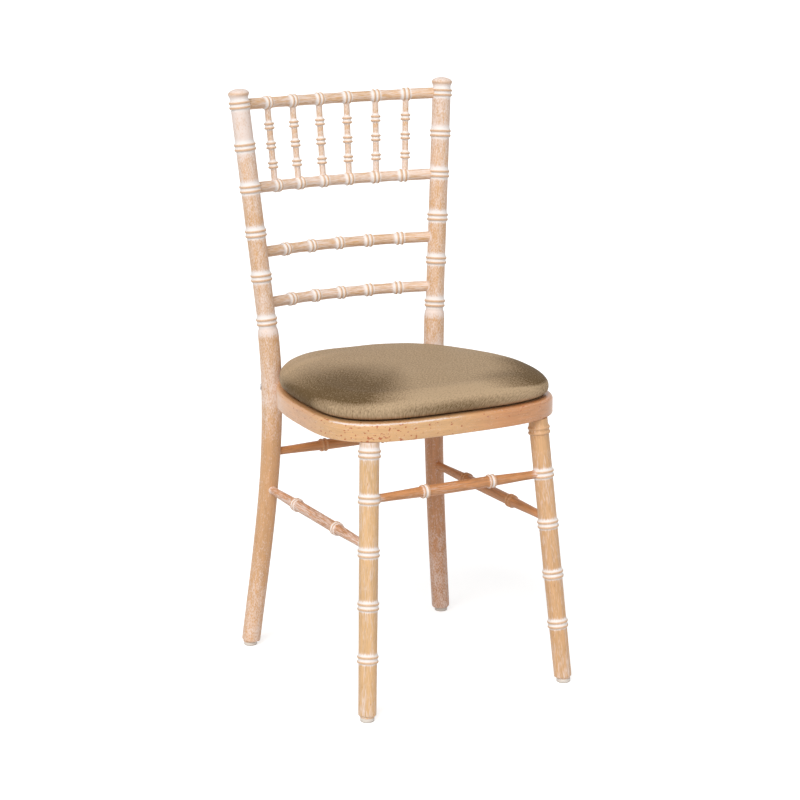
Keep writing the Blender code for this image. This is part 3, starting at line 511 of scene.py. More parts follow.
def make_turning_tree():
    """Turns a line of stations round its own axis and adds two rows of double rings."""
    profile = make_ring_profile()
    tree, given, result = start_group("Ringed Turning", "GeometryNodeTree", {
        "Line": "Geometry",
        "Sides": 48,
        "Bead Width": 0.003,
        "Bead Spacing": 0.007,
        "Ring Rise": 0.0023,
        "Groove Share": 0.4,
        "Flare Length": 0.006,
        "Lime Reach": 0.015,
        "Flare Side": 1.0,
        "First Ring": 0.1,
        "Ring Pitch": 0.1,
        "Ring Count": 1,
        "First Upper Ring": 0.1,
        "Upper Ring Pitch": 0.1,
        "Upper Ring Count": 1,
        "Finish": "Material",
    }, {"Turning": "Geometry"})
    ports = given.outputs
    place = read_value(tree, "turn_place")
    lower = ring_distance(tree, place, ports["First Ring"], ports["Ring Pitch"], ports["Ring Count"])
    upper = ring_distance(tree, place, ports["First Upper Ring"], ports["Upper Ring Pitch"],
                          ports["Upper Ring Count"])
    pick_upper = calc(tree, "LESS_THAN", calc(tree, "ABSOLUTE", upper), calc(tree, "ABSOLUTE", lower))
    change = calc(tree, "MULTIPLY", pick_upper, calc(tree, "SUBTRACT", upper, lower))
    distance = calc(tree, "MULTIPLY", calc(tree, "ADD", lower, change), ports["Flare Side"])
    sizes = ("Bead Width", "Bead Spacing", "Groove Share", "Flare Length", "Lime Reach")
    ring = use_group(tree, profile, {"Distance": distance, **{name: ports[name] for name in sizes}})
    radius = calc(tree, "MULTIPLY_ADD", ring.outputs["Rise"], ports["Ring Rise"],
                  read_value(tree, "turn_radius"))
    line = add_node(tree, "GeometryNodeMeshToCurve", {"Mesh": ports["Line"]}).outputs["Curve"]
    line = keep_value(tree, line, "ring_lime", ring.outputs["Lime"])
    line = keep_value(tree, line, "ring_crest", ring.outputs["Crest"])
    line = keep_value(tree, line, "turn_radius", radius)
    circle = add_node(tree, "GeometryNodeCurvePrimitiveCircle", {
        "Resolution": ports["Sides"], "Radius": 1.0})
    position = tree.nodes.new("GeometryNodeInputPosition").outputs["Position"]
    circle = keep_value(tree, circle.outputs["Curve"], "turn_round", position, "FLOAT_VECTOR")
    body = add_node(tree, "GeometryNodeCurveToMesh", {
        "Curve": line, "Profile Curve": circle, "Scale": read_value(tree, "turn_radius"),
        "Fill Caps": True}).outputs["Mesh"]
    round_place = read_value(tree, "turn_round", "FLOAT_VECTOR")
    round_parts = add_node(tree, "ShaderNodeSeparateXYZ", {0: round_place}).outputs
    across = [calc(tree, "MULTIPLY", round_parts[axis], read_value(tree, "turn_radius")) for axis in (0, 1)]
    grain = add_node(tree, "ShaderNodeCombineXYZ", {0: across[0], 1: across[1], 2: place})
    body = keep_value(tree, body, "grain_place", grain.outputs[0], "FLOAT_VECTOR")
    for name in ("turn_round", "turn_radius", "turn_place"):
        body = add_node(tree, "GeometryNodeRemoveAttribute", {"Geometry": body, "Name": name}).outputs[0]
    whole = add_node(tree, "GeometryNodeRealizeInstances", {"Geometry": body}).outputs[0]
    painted = add_node(tree, "GeometryNodeSetMaterial", {
        "Geometry": whole, "Material": ports["Finish"]}).outputs[0]
    set_inputs(tree, result, {"Turning": painted})
    return tree


def fine_places(start, end, rings):
    """Places along a piece: close together near its rings, further apart on its shafts."""
    places = list(np.arange(start, end, SHAFT_STEP)) + [end]
    for ring in rings:
        places += list(np.arange(ring - RING_REACH, ring + RING_REACH, FINE_STEP))
    places = sorted(place for place in places if start <= place <= end)
    kept = [places[0]]
    for place in places[1:]:
        if place - kept[-1] > CLOSEST_STEP:
            kept.append(place)
    return kept


def turn(context, name, stations, rings, wood, changes=None):
    """Turn a piece along stations of point, place, radius, lime cover and redness, which is partly painted
    shade.

    Rings are one or two rows of first place, pitch and count. Changes name inputs of the
    turning tree that differ from the settings.
    """
    sizes = context.scene.chair_turning
    line = bpy.data.meshes.new(name)
    count = len(stations)
    line.from_pydata([station[0] for station in stations], [(i, i + 1) for i in range(count - 1)], [])
    labels = ("turn_place", "turn_radius", "lime_cover", "warm_share")
    for number, label in enumerate(labels, start=1):
        layer = line.attributes.new(label, "FLOAT", "POINT")
        layer.data.foreach_set("value", [station[number] for station in stations])
    piece = add_object(context, line)
    modifier = piece.modifiers.new("Turning", "NODES")
    modifier.node_group = bpy.data.node_groups.get("Ringed Turning") or make_turning_tree()
    rows = rings if len(rings) == 2 else [rings[0], rings[0]]
    values = {name.replace("_", " ").title(): getattr(sizes, name) for name in sizes.__annotations__}
    values |= {
        "Flare Side": 1.0,
        "First Ring": rows[0][0], "Ring Pitch": rows[0][1], "Ring Count": rows[0][2],
        "First Upper Ring": rows[1][0], "Upper Ring Pitch": rows[1][1], "Upper Ring Count": rows[1][2],
        "Finish": wood_finish(context, wood),
    }
    values.update(changes or {})
    for socket in modifier.node_group.interface.items_tree:
        if socket.in_out == "INPUT" and socket.name in values:
            modifier[socket.identifier] = values[socket.name]
    depsgraph = context.evaluated_depsgraph_get()
    turned = bpy.data.meshes.new_from_object(
        piece.evaluated_get(depsgraph), preserve_all_data_layers=True, depsgraph=depsgraph)
    if not turned.polygons:
        raise RuntimeError("The turning of " + name + " came out empty")
    piece.modifiers.remove(modifier)
    piece.data = turned
    turned.name = name
    return piece


def face_outwards(mesh):
    """Turn a closed mesh the right way out."""
    mesh_data = bmesh.new()
    mesh_data.from_mesh(mesh)
    if mesh_data.calc_volume(signed=True) < 0:
        bmesh.ops.reverse_faces(mesh_data, faces=mesh_data.faces)
    mesh_data.to_mesh(mesh)
    mesh_data.free()


def add_object(context, data):
    """Put a mesh, lamp or camera into the scene under its own name."""
    added = bpy.data.objects.new(data.name, data)
    context.scene.collection.objects.link(added)
    return added


def paint(piece, material):
    """Give a piece one material in place of those it has."""
    piece.data.materials.clear()
    piece.data.materials.append(material)


def smooth(mesh):
    mesh.shade_smooth()
    mesh.set_sharp_from_angle(angle=SHARP_ANGLE)


def read_points(mesh):
    values = np.empty(len(mesh.vertices) * 3)
    mesh.vertices.foreach_get("co", values)
    return values.reshape(-1, 3)


def write_points(mesh, points):
    mesh.vertices.foreach_set("co", points.ravel())
    mesh.update()


def level_ends(mesh, low, high=None):
    """Press whatever lies past a level foot or shoulder flat onto it."""
    points = read_points(mesh)
    points[:, 2] = np.clip(points[:, 2], low, high)
    write_points(mesh, points)


def add_numbers(mesh, name, values):
    layer = mesh.attributes.get(name) or mesh.attributes.new(name, "FLOAT", "POINT")
    layer.data.foreach_set("value", np.asarray(values, np.float32))


def read_numbers(mesh, name):
    values = np.empty(len(mesh.vertices), np.float32)
    mesh.attributes[name].data.foreach_get("value", values)
    return values


def read_table(value, table):
    """Look a value up between a table's rows."""
    return np.interp(value, *zip(*table))


def fade(values, end, reach):
    """0 from an end upwards, rising to 1 at a reach below it."""
    return np.clip((end - values) / reach, 0, 1)


def hump(values, middle, reach):
    """A soft hump, 1 in its middle."""
    return np.exp(-((values - middle) / reach) ** 2)


def ring_places(first, pitch, count):
    return [first + step * pitch for step in range(count)]


def whiten_joints(mesh, joints):
    """Leave lime on a post or leg where other pieces enter it."""
    points = read_points(mesh)
    cover = read_numbers(mesh, "lime_cover")
    for start, end, radius in joints:
        axis = (end - start).normalized()
        away = points - np.array(start)
        along = away @ np.array(axis)
        aside = np.linalg.norm(away - np.outer(along, axis), axis=1)
        near = fade(aside, radius + JOINT_LIME_REACH, JOINT_LIME_FADE)
        near *= (along > 0) * (along < JOINT_LIME_DEPTH)
        cover = np.maximum(cover, JOINT_LIME * near * near * (3 - 2 * near))
    add_numbers(mesh, "lime_cover", cover)


def dull_rings(mesh, share, above=-1.0):
    """Leave less lime in the rings that lie higher than a height."""
    kept = 1 - share * (read_points(mesh)[:, 2] > above)
    add_numbers(mesh, "ring_lime", read_numbers(mesh, "ring_lime") * kept)


def finish_piece(piece, nodes, body="chair_frame"):
    """Smooth a finished piece and tie it to the nodes and the body it stands for."""
    face_outwards(piece.data)
    smooth(piece.data)
    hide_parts(*nodes)
    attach(piece, body)


# Materials

def scaled(tree, vector, factors):
    inputs = {0: vector, 1: factors}
    return add_node(tree, "ShaderNodeVectorMath", inputs, operation="MULTIPLY").outputs[0]


def noise(tree, vector, detail, roughness=0.5):
    inputs = {"Vector": vector, "Scale": 1.0, "Detail": detail, "Roughness": roughness}
    return add_node(tree, "ShaderNodeTexNoise", inputs).outputs["Fac"]


def grain_noise(tree, place, across, along, detail, roughness=0.5):
    """Noise with one fineness across the grain and another along it."""
    fineness = add_node(tree, "ShaderNodeCombineXYZ", {0: across, 1: across, 2: along}).outputs[0]
    return noise(tree, scaled(tree, place, fineness), detail, roughness)


def make_beech_grain():
    """Streaks, flecks and height of beech whose grain runs along the third coordinate."""
    tree, given, result = start_group("Beech Grain", "ShaderNodeTree", {
        "Place": "Vector",
        "Fleck Cover": 0.5,
        "Fleck Across": 520.0,
        "Fleck Along": 170.0,
    }, {"Streaks": "Float", "Flecks": "Float", "Height": "Float"})
    place = given.outputs["Place"]
    broad = grain_noise(tree, place, 95.0, 7.0, 2.0)
    fibres = grain_noise(tree, place, 560.0, 42.0, 4.0, 0.68)
    mixed = calc(tree, "MULTIPLY_ADD", fibres, 0.6, calc(tree, "MULTIPLY", broad, 0.4))
    streaks = remap(tree, mixed, 0.34, 0.62, curve="SMOOTHSTEP")
    spots = grain_noise(tree, place, given.outputs["Fleck Across"], given.outputs["Fleck Along"], 1.5)
    patches = remap(tree, grain_noise(tree, place, 70.0, 30.0, 1.0), 0.42, 0.62)
    edge = calc(tree, "SUBTRACT", 0.78, calc(tree, "MULTIPLY", given.outputs["Fleck Cover"], 0.16))
    edge = calc(tree, "SUBTRACT", edge, calc(tree, "MULTIPLY", patches, 0.04))
    flecks = remap(tree, calc(tree, "SUBTRACT", spots, edge), 0.0, 0.05)
    height = calc(tree, "SUBTRACT", fibres, calc(tree, "MULTIPLY", flecks, 0.6))
    set_inputs(tree, result, {"Streaks": streaks, "Flecks": flecks, "Height": height})
    return tree


def make_limed_finish():
    """Colour and roughness of wood with lime left in its grooves and pores."""
    tree, given, result = start_group("Limed Finish", "ShaderNodeTree", {
        "Place": "Vector",
        "Streaks": 0.5,
        "Flecks": 0.0,
        "Ring Lime": 0.0,
        "Ring Crest": 0.0,
        "Lime Cover": 0.0,
        "Speck Along": 300.0,
        "Beech Colour": "Color",
        "Streak Colour": "Color",
        "Fleck Colour": "Color",
        "Lime Colour": "Color",
        "Wash Colour": "Color",
        "Rubbed Colour": "Color",
    }, {"Colour": "Color", "Roughness": "Float"})
    ports = given.outputs
    place = ports["Place"]
    speck_along = ports["Speck Along"]
    patch_along = calc(tree, "MULTIPLY", speck_along, 0.18)
    patch = remap(tree, grain_noise(tree, place, 150.0, patch_along, 3.0, 0.52), 0.32, 0.68)
    specks = remap(tree, grain_noise(tree, place, 760.0, speck_along, 2.0, 0.55), 0.36, 0.64)
    wood = blend_colours(tree, ports["Streaks"], ports["Streak Colour"], ports["Beech Colour"])
    wood = blend_colours(tree, ports["Flecks"], wood, ports["Fleck Colour"])
    ring = calc(tree, "POWER", ports["Ring Lime"], 2.2)
    amount = calc(tree, "MULTIPLY_ADD", ring, 1.15, ports["Lime Cover"])
    amount = calc(tree, "SUBTRACT", amount, calc(tree, "MULTIPLY", patch, 0.32))
    amount = calc(tree, "ADD", amount, calc(tree, "MULTIPLY_ADD", specks, 0.50, -0.26))
    lime = remap(tree, amount, 0.0, 0.68)
    rubbed = calc(tree, "MULTIPLY", ports["Ring Crest"], calc(tree, "MULTIPLY_ADD", specks, -0.30, 1.0))
    lime = calc(tree, "MULTIPLY", lime, calc(tree, "SUBTRACT", 1.0, rubbed), clamp=True)
    wash = blend_colours(tree, remap(tree, ring, 0.10, 0.65), ports["Wash Colour"], ports["Lime Colour"])
    surface = blend_colours(tree, lime, wood, wash)
    surface = blend_colours(tree, calc(tree, "MULTIPLY", rubbed, 0.70), surface, ports["Rubbed Colour"])
    roughness = calc(tree, "MULTIPLY_ADD", lime, 0.25, 0.45)
    set_inputs(tree, result, {"Colour": surface, "Roughness": roughness})
    return tree


def start_material(name, viewport_colour):
    """A material with its shader, and its tree."""
    material = bpy.data.materials.new(name)
    material.use_nodes = True
    material.diffuse_color = (*viewport_colour, 1.0)
    return material, material.node_tree, material.node_tree.nodes["Principled BSDF"]


def read_attribute(tree, name, output="Fac"):
    return add_node(tree, "ShaderNodeAttribute", attribute_name=name).outputs[output]


def object_place(tree):
    return tree.nodes.new("ShaderNodeTexCoord").outputs["Object"]


def add_bump(tree, shader, height, strength, distance):
    bump = add_node(tree, "ShaderNodeBump", {"Height": height, "Strength": strength, "Distance": distance})
    set_inputs(tree, shader, {"Normal": bump.outputs["Normal"]})


# Kinds of wood: colour, redder colour (also used for painted shade), streaks' brightness, cover of
# flecks (or the name of the values that hold it), their fineness across and along the grain, their
# colour, and the fineness of the lime's specks along the grain
WOODS = {
    "limed beech": ("beech", "warm", 0.82, 0.35, 520.0, 170.0, "fleck", 300.0),
    "streaked beech": ("beech", "warm", 0.76, 0.35, 520.0, 120.0, "fleck", 80.0),
    "warm beech": ("stretcher", "warm", 0.62, 0.35, 520.0, 120.0, "fleck", 70.0),
    "oiled beech": ("hoop", "stretcher", 0.80, "fleck_cover", 210.0, 165.0, "hoop_fleck", 300.0),
}
WARM_STREAK_SHARE = 0.80


def wood_finish(context, name):
    """Beech, limed and reddened where the piece's own values say so; the redness is partly painted shade.
    """
    if name in bpy.data.materials:
        return bpy.data.materials[name]
    finish = context.scene.chair_wood
    plain, redder, streak_share, fleck_cover, fleck_across, fleck_along, fleck, speck_along = WOODS[name]
    beech = getattr(finish, plain)
    warm = getattr(finish, redder)
    material, tree, shader = start_material(name, beech)
    place = read_attribute(tree, "grain_place", "Vector")
    if isinstance(fleck_cover, str):
        fleck_cover = read_attribute(tree, fleck_cover)
    grain = use_group(tree, shared_group("Beech Grain", make_beech_grain), {
        "Place": place, "Fleck Cover": fleck_cover, "Fleck Across": fleck_across,
        "Fleck Along": fleck_along})
    redness = read_attribute(tree, "warm_share")
    wood = blend_colours(tree, redness, (*beech, 1.0), (*warm, 1.0))
    streak = blend_colours(tree, redness, darker(beech, streak_share), darker(warm, WARM_STREAK_SHARE))
    limed = use_group(tree, shared_group("Limed Finish", make_limed_finish), {
        "Place": place,
        "Streaks": grain.outputs["Streaks"],
        "Flecks": grain.outputs["Flecks"],
        "Ring Lime": read_attribute(tree, "ring_lime"),
        "Ring Crest": read_attribute(tree, "ring_crest"),
        "Lime Cover": read_attribute(tree, "lime_cover"),
        "Speck Along": speck_along,
        "Beech Colour": wood,
        "Streak Colour": streak,
        "Fleck Colour": (*getattr(finish, fleck), 1.0),
        "Lime Colour": (*finish.lime, 1.0),
        "Wash Colour": (*finish.wash, 1.0),
        "Rubbed Colour": (*finish.rubbed, 1.0),
    })
    set_inputs(tree, shader, {
        "Base Color": limed.outputs["Colour"], "Roughness": limed.outputs["Roughness"]})
    add_bump(tree, shader, grain.outputs["Height"], 0.35, 0.0002)
    return material


def shared_group(name, maker):
    return bpy.data.node_groups.get(name) or maker()


def darker(colour, share):
    """A darkened colour with its alpha."""
    return (*(level * share for level in colour), 1.0)


def steel_finish():
    """Zinc-plated steel with a fine spangle."""
    if "plated steel" in bpy.data.materials:
        return bpy.data.materials["plated steel"]
    material, tree, shader = start_material("plated steel", (0.6, 0.6, 0.62))
    spangle = noise(tree, scaled(tree, object_place(tree), (900.0, 900.0, 900.0)), 3.0)
    tone = blend_colours(tree, spangle, (0.50, 0.50, 0.53, 1), (0.74, 0.74, 0.76, 1))
    roughness = remap(tree, spangle, 0.3, 0.7, 0.25, 0.45)
    set_inputs(tree, shader, {"Base Color": tone, "Roughness": roughness, "Metallic": 1.0})
    add_bump(tree, shader, spangle, 0.15, 0.0001)
    return material


def nylon_finish():
    """Pale moulded nylon, scuffed where it slides."""
    if "pale nylon" in bpy.data.materials:
        return bpy.data.materials["pale nylon"]
    material, tree, shader = start_material("pale nylon", (0.7, 0.68, 0.65))
    place = object_place(tree)
    speckle = noise(tree, scaled(tree, place, (700.0, 700.0, 260.0)), 4.0)
    height = add_node(tree, "ShaderNodeSeparateXYZ", {0: place}).outputs["Z"]
    scuffed = calc(tree, "MULTIPLY", remap(tree, height, 0.0, 0.0035, 1.0, 0.0), speckle)
    base = (*screen_colour(221, 212, 202), 1.0)
    tone = blend_colours(tree, scuffed, base, (*screen_colour(160, 148, 136), 1.0))
    roughness = remap(tree, scuffed, 0.0, 0.6, 0.38, 0.62)
    set_inputs(tree, shader, {"Base Color": tone, "Roughness": roughness})
    add_bump(tree, shader, speckle, 0.12, 0.0001)
    return material


# Operators, one for each piece or group of like pieces

# Lime cover by height: of both posts, what the right post adds, and of each leg
POST_COVER = ((0.0, 0.46), (0.10, 0.32), (0.20, 0.08), (0.34, 0.06), (0.42, 0.54), (0.47, 0.50),
              (0.52, 0.54), (0.60, 0.44), (0.68, 0.32), (0.76, 0.46), (0.80, 0.52), (0.83, 0.84),
              (0.92, 0.84))
RIGHT_POST_COVER = ((0.0, 0.0), (0.42, 0.08), (0.46, 0.24), (0.52, 0.0), (0.58, -0.08), (0.70, 0.0),
                    (0.80, -0.04), (0.83, -0.30), (0.885, -0.30), (0.91, -0.05))
# The right leg's lime falls away just under the seat, so that it comes out darker: painted shade of the
# seat's shadow
LEG_COVER = {"left": ((0.0, 0.40), (0.07, 0.16), (0.385, 0.16), (0.426, 0.6793)),
             "right": ((0.0, 0.40), (0.07, 0.16), (0.375, 0.16), (0.385, -1.19), (0.426, -1.0533))}

# Lime cover by the distance below the knee's ring: thick above the shoulder, thin below it
KNEE_COVER = ((-0.002, 0.0), (0.0, 0.40), (0.018, 0.40), (0.026, -0.24), (0.045, -0.20), (0.080, 0.0))

# Redness of the wood: of the posts by height, and of the legs. The right post's greater redness low
# down and all of the right leg's redness are painted shade.
POST_WARMTH = {"left": ((0.38, 0.45), (0.46, 0.0)), "right": ((0.38, 1.0), (0.46, 0.0))}
LEAST_POST_WARMTH = 0.32
LEG_WARMTH = {"left": 0.0, "right": 0.30}


def post_radius(height):
    """The radius of a rear post without its rings."""
    shoulder = KNEE_HEIGHT - POST_SHOULDER_DROP
    above = height - TOP_RAIL_HEIGHT
    if above > FINIAL_RISE:
        dome = min(1.0, (above - FINIAL_RISE) / FINIAL_DOME)
        return FINIAL_RADIUS * max(0.0, 1 - dome ** FINIAL_DOME_POWER) ** 0.5
    if above > FINIAL_START:
        share = (above - FINIAL_START) / (FINIAL_RISE - FINIAL_START)
        return FINIAL_NECK_RADIUS + (FINIAL_RADIUS - FINIAL_NECK_RADIUS) * share ** FINIAL_FLARE_POWER
    if height > KNEE_HEIGHT:
        return POST_RADIUS
    if height > shoulder:
        share = (height - shoulder) / (POST_SHOULDER_DROP * POST_SHOULDER_SHARE)
        drop = POST_SHOULDER_RADIUS - POST_NECK_RADIUS
        return POST_NECK_RADIUS + drop * math.sqrt(max(0.0, 1 - min(1.0, share) ** 2))
    if height > POST_SHIN_HEIGHT:
        share = min(1.0, 2 * (height - POST_SHIN_HEIGHT) / (shoulder - POST_SHIN_HEIGHT))
        return POST_SHIN_RADIUS + (POST_SHOULDER_RADIUS - POST_SHIN_RADIUS) * share
    return POST_FOOT_RADIUS + (POST_SHIN_RADIUS - POST_FOOT_RADIUS) * height / POST_SHIN_HEIGHT


def foot_radius(radius, height):
    """Round a foot over to its chamfer."""
    share = min(1.0, max(0.0, (height - FOOT_BOTTOM) / FOOT_CHAMFER_HEIGHT))
    return radius - FOOT_CHAMFER * (1 - math.sqrt(1 - (1 - share) ** 2))


class CHAIR_OT_rear_posts(bpy.types.Operator):
    """Turn the two rear posts, with their rings and finials"""

    bl_idname = "chair.rear_posts"
    bl_label = "Rear posts"

    def execute(self, context):
        top = TOP_RAIL_HEIGHT + FINIAL_RISE
        lower = (KNEE_HEIGHT, LOWER_RING_PITCH, 3)
        upper = (SPINDLE_RAIL_HEIGHT, UPPER_RING_PITCH, 3)
        heights = fine_places(FOOT_BOTTOM - TURNING_MARGIN, top, ring_places(*lower) + ring_places(*upper))
        heights += [top + FINIAL_DOME * math.sin(math.radians(angle)) for angle in range(4, 88, 4)]
        heights.append(top + FINIAL_DOME * 0.9998)
        for label, side in (("left", -1), ("right", 1)):
            stations = []
            for height in heights:
                cover = read_table(height, POST_COVER) + read_table(KNEE_HEIGHT - height, KNEE_COVER)
                if side > 0:
                    cover += read_table(height, RIGHT_POST_COVER)
                radius = foot_radius(post_radius(height), height)
                # Redness, which low on the right post is partly painted shade under the seat
                warm = max(LEAST_POST_WARMTH, read_table(height, POST_WARMTH[label]))
                stations.append((post_point(side, height), height, radius, cover, warm))
            post = turn(context, "turned_post_" + label, stations, [lower, upper], "limed beech")
            level_ends(post.data, FOOT_BOTTOM)
            joints = []
            for height in (TOP_RAIL_HEIGHT, SPINDLE_RAIL_HEIGHT, MIDDLE_RAIL_HEIGHT, LOWER_RAIL_HEIGHT):
                share = 0.001 if side < 0 else 0.999
                inner = 0.1 if side < 0 else 0.9
                joints.append((rail_point(height, share), rail_point(height, inner), RAIL_RADIUS))
            whiten_joints(post.data, joints)
            rim = 0.55 * hump(read_points(post.data)[:, 2], top + FINIAL_RIM_RISE, FINIAL_RIM_WIDTH)
            crest = np.maximum(read_numbers(post.data, "ring_crest"), rim)
            add_numbers(post.data, "ring_crest", crest)
            finish_piece(post, ["rear_post_" + label])
        return {"FINISHED"}


class CHAIR_OT_front_legs(bpy.types.Operator):
    """Turn the two front legs"""

    bl_idname = "chair.front_legs"
    bl_label = "Front legs"

    def execute(self, context):
        lower = (LEG_FIRST_RING, LEG_RING_PITCH, LEG_LOWER_RINGS)
        upper = (LEG_TOP_RING, LEG_RING_PITCH, 1)
        rings = ring_places(*lower) + ring_places(*upper)
        heights = fine_places(FOOT_BOTTOM - TURNING_MARGIN, SEAT_BOTTOM + 0.002, rings)
        for label, side in (("left", -1), ("right", 1)):
            stations = []
            for height in heights:
                share = (height - FOOT_BOTTOM) / (SEAT_BOTTOM - FOOT_BOTTOM)
                radius = LEG_FOOT_RADIUS + (LEG_TOP_RADIUS - LEG_FOOT_RADIUS) * share
                cover = read_table(height, LEG_COVER[label])
                stations.append((leg_point(side, height), height, foot_radius(radius, height), cover,
                                 LEG_WARMTH[label]))
            leg = turn(context, "turned_leg_" + label, stations, [lower, upper], "streaked beech",
                       {"Lime Reach": 0.0125})
            level_ends(leg.data, FOOT_BOTTOM, SEAT_BOTTOM - 0.0002)
            front = leg_point(side, FRONT_STRETCHER_HEIGHT)
            aside = leg_point(side, SIDE_STRETCHER_FRONT)
            whiten_joints(leg.data, [
                (front, leg_point(-side, FRONT_STRETCHER_HEIGHT), STRETCHER_END_RADIUS),
                (aside, post_point(side, SIDE_STRETCHER_REAR), STRETCHER_END_RADIUS),
            ])
            # Less lime in the right leg's top ring too: painted shade under the seat
            if side > 0:
                dull_rings(leg.data, 0.65, 0.375)
            finish_piece(leg, ["front_leg_" + label])
        return {"FINISHED"}


# Ring sizes of the rails and stretchers, and in part of the spindles
SLIM_RINGS = {"Bead Spacing": 0.0070, "Flare Length": 0.0056}


def ring_shares(height, end, count):
    first = end / rail_span(height)
    step = (1 - 2 * first) / (count - 1)
    return [first + step * index for index in range(count)]


class CHAIR_OT_back_rails(bpy.types.Operator):
    """Turn and bow the four back rails"""

    bl_idname = "chair.back_rails"
    bl_label = "Back rails"

    def execute(self, context):
        rails = (
            ("top_rail", TOP_RAIL_HEIGHT, SPINDLE_END, SPINDLE_COUNT, 0.42),
            ("spindle_rail", SPINDLE_RAIL_HEIGHT, SPINDLE_END, SPINDLE_COUNT, 0.56),
            ("middle_rail", MIDDLE_RAIL_HEIGHT, LADDER_END, LADDER_RINGS, 0.42),
            ("lower_rail", LOWER_RAIL_HEIGHT, LADDER_END, LADDER_RINGS, 0.52),
        )
        for name, height, end, count, cover in rails:
            span = rail_span(height)
            shares = ring_shares(height, end, count)
            rings = [share * span for share in shares]
            stations = []
            for place in fine_places(TENON_STOP, span - TENON_STOP, rings):
                nearest = min(abs(place - ring) for ring in rings)
                outer = place < rings[0] or place > rings[-1]
                waist = 0.0 if outer else min(1.0, nearest / (rings[1] - rings[0]) * 2)
                radius = RAIL_RADIUS - (RAIL_RADIUS - RAIL_WAIST_RADIUS) * waist
                stations.append((rail_point(height, place / span), place, radius, cover, 0.24))
            row = (rings[0], rings[1] - rings[0], count)
            rail = turn(context, "turned_" + name, stations, [row], "streaked beech", {
                **SLIM_RINGS,
                "Ring Rise": RAIL_BEAD_RADIUS - RAIL_RADIUS,
                "Flare Side": -1.0,
                "Lime Reach": 0.0120})
            finish_piece(rail, [name])
        return {"FINISHED"}


class CHAIR_OT_spindles(bpy.types.Operator):
    """Turn the six spindles between the two upper rails"""

    bl_idname = "chair.spindles"
    bl_label = "Spindles"

    def execute(self, context):
        shares = ring_shares(TOP_RAIL_HEIGHT, SPINDLE_END, SPINDLE_COUNT)
        for number, share in enumerate(shares, start=1):
            bottom = rail_point(SPINDLE_RAIL_HEIGHT, share)
            top = rail_point(TOP_RAIL_HEIGHT, share)
            length = (top - bottom).length
            first = length / 2 - SPINDLE_RING_PITCH - SPINDLE_RING_DROP
            rings = (first, SPINDLE_RING_PITCH, 3)
            stations = []
            for place in fine_places(SPINDLE_STOP, length - SPINDLE_STOP, ring_places(*rings)):
                cover = 0.46 + 0.3 * abs(2 * place / length - 1) ** 3
                point = bottom.lerp(top, place / length)
                stations.append((point, place, SPINDLE_RADIUS, cover, 0.14))
            spindle = turn(context, f"turned_spindle_{number}", stations, [rings], "limed beech", {
                **SLIM_RINGS,
                "Ring Rise": SPINDLE_BEAD_RADIUS - SPINDLE_RADIUS,
                "Groove Share": 0.50,
                "Bead Width": 0.0024,
                "Bead Spacing": 0.0068,
                "Lime Reach": 0.0095,
                "Sides": 32})
            finish_piece(spindle, [f"spindle_{number}"])
        return {"FINISHED"}


class CHAIR_OT_stretchers(bpy.types.Operator):
    """Turn the four stretchers under the seat"""

    bl_idname = "chair.stretchers"
    bl_label = "Stretchers"

    def execute(self, context):
        pieces = [
            ("front_stretcher", leg_point(-1, FRONT_STRETCHER_HEIGHT),
             leg_point(1, FRONT_STRETCHER_HEIGHT), CROSS_RING_INSET, -1.0, 0.04),
            ("rear_stretcher", post_point(-1, REAR_STRETCHER_HEIGHT),
             post_point(1, REAR_STRETCHER_HEIGHT), CROSS_RING_INSET, -1.0, -0.80),
        ]
        # The right side stretcher gets no lime, so that it comes out darker: painted shade under the seat
        for label, side in (("left", -1), ("right", 1)):
            pieces.append(("side_stretcher_" + label, post_point(side, SIDE_STRETCHER_REAR),
                           leg_point(side, SIDE_STRETCHER_FRONT), SIDE_RING_INSET, 1.0,
                           0.40 if side < 0 else -0.30))
        rise = STRETCHER_RADIUS - STRETCHER_END_RADIUS
        for name, start, end, inset, flare_side, cover in pieces:
            length = (end - start).length
            rings = [inset, length - inset]
            stations = []
            for place in fine_places(TENON_STOP, length - TENON_STOP, rings):
                near = min(place, length - place)
                thickness = read_table(near, (
                    (0.0, 0.0), (inset * 0.40, 0.15), (inset - 0.008, 0.75), (inset + 0.008, 1.0)))
                radius = STRETCHER_END_RADIUS + rise * thickness
                limed = cover + 0.5 * max(0.0, 1 - (near - 0.015) / 0.012)
                stations.append((start.lerp(end, place / length), place, radius, limed, 0.0))
            row = (rings[0], rings[1] - rings[0], 2)
            stretcher = turn(context, "turned_" + name, stations, [row], "warm beech", {
                **SLIM_RINGS,
                "Ring Rise": STRETCHER_BEAD_RADIUS - STRETCHER_RADIUS + 0.0003,
                "Flare Side": flare_side,
                "Lime Reach": 0.0045})
            # Less lime in the rings of the rear stretcher, and of the right side stretcher as painted shade
            # under the seat
            if name in ("rear_stretcher", "side_stretcher_right"):
                dull_rings(stretcher.data, 0.5)
            finish_piece(stretcher, [name])
        return {"FINISHED"}


def loft_mesh(name, rows, closed):
    """A mesh from rows of points, each row a closed loop, with capped or joined ends."""
    mesh_data = bmesh.new()
    loops = [[mesh_data.verts.new(point) for point in row] for row in rows]
    pairs = list(zip(loops, loops[1:]))
    if closed:
        pairs.append((loops[-1], loops[0]))
    for lower, upper in pairs:
        for index in range(len(lower)):
            after = (index + 1) % len(lower)
            mesh_data.faces.new((lower[index], lower[after], upper[after], upper[index]))
    if not closed:
        mesh_data.faces.new(list(reversed(loops[0])))
        mesh_data.faces.new(loops[-1])
    mesh = bpy.data.meshes.new(name)
    mesh_data.to_mesh(mesh)
    mesh_data.free()
    return mesh


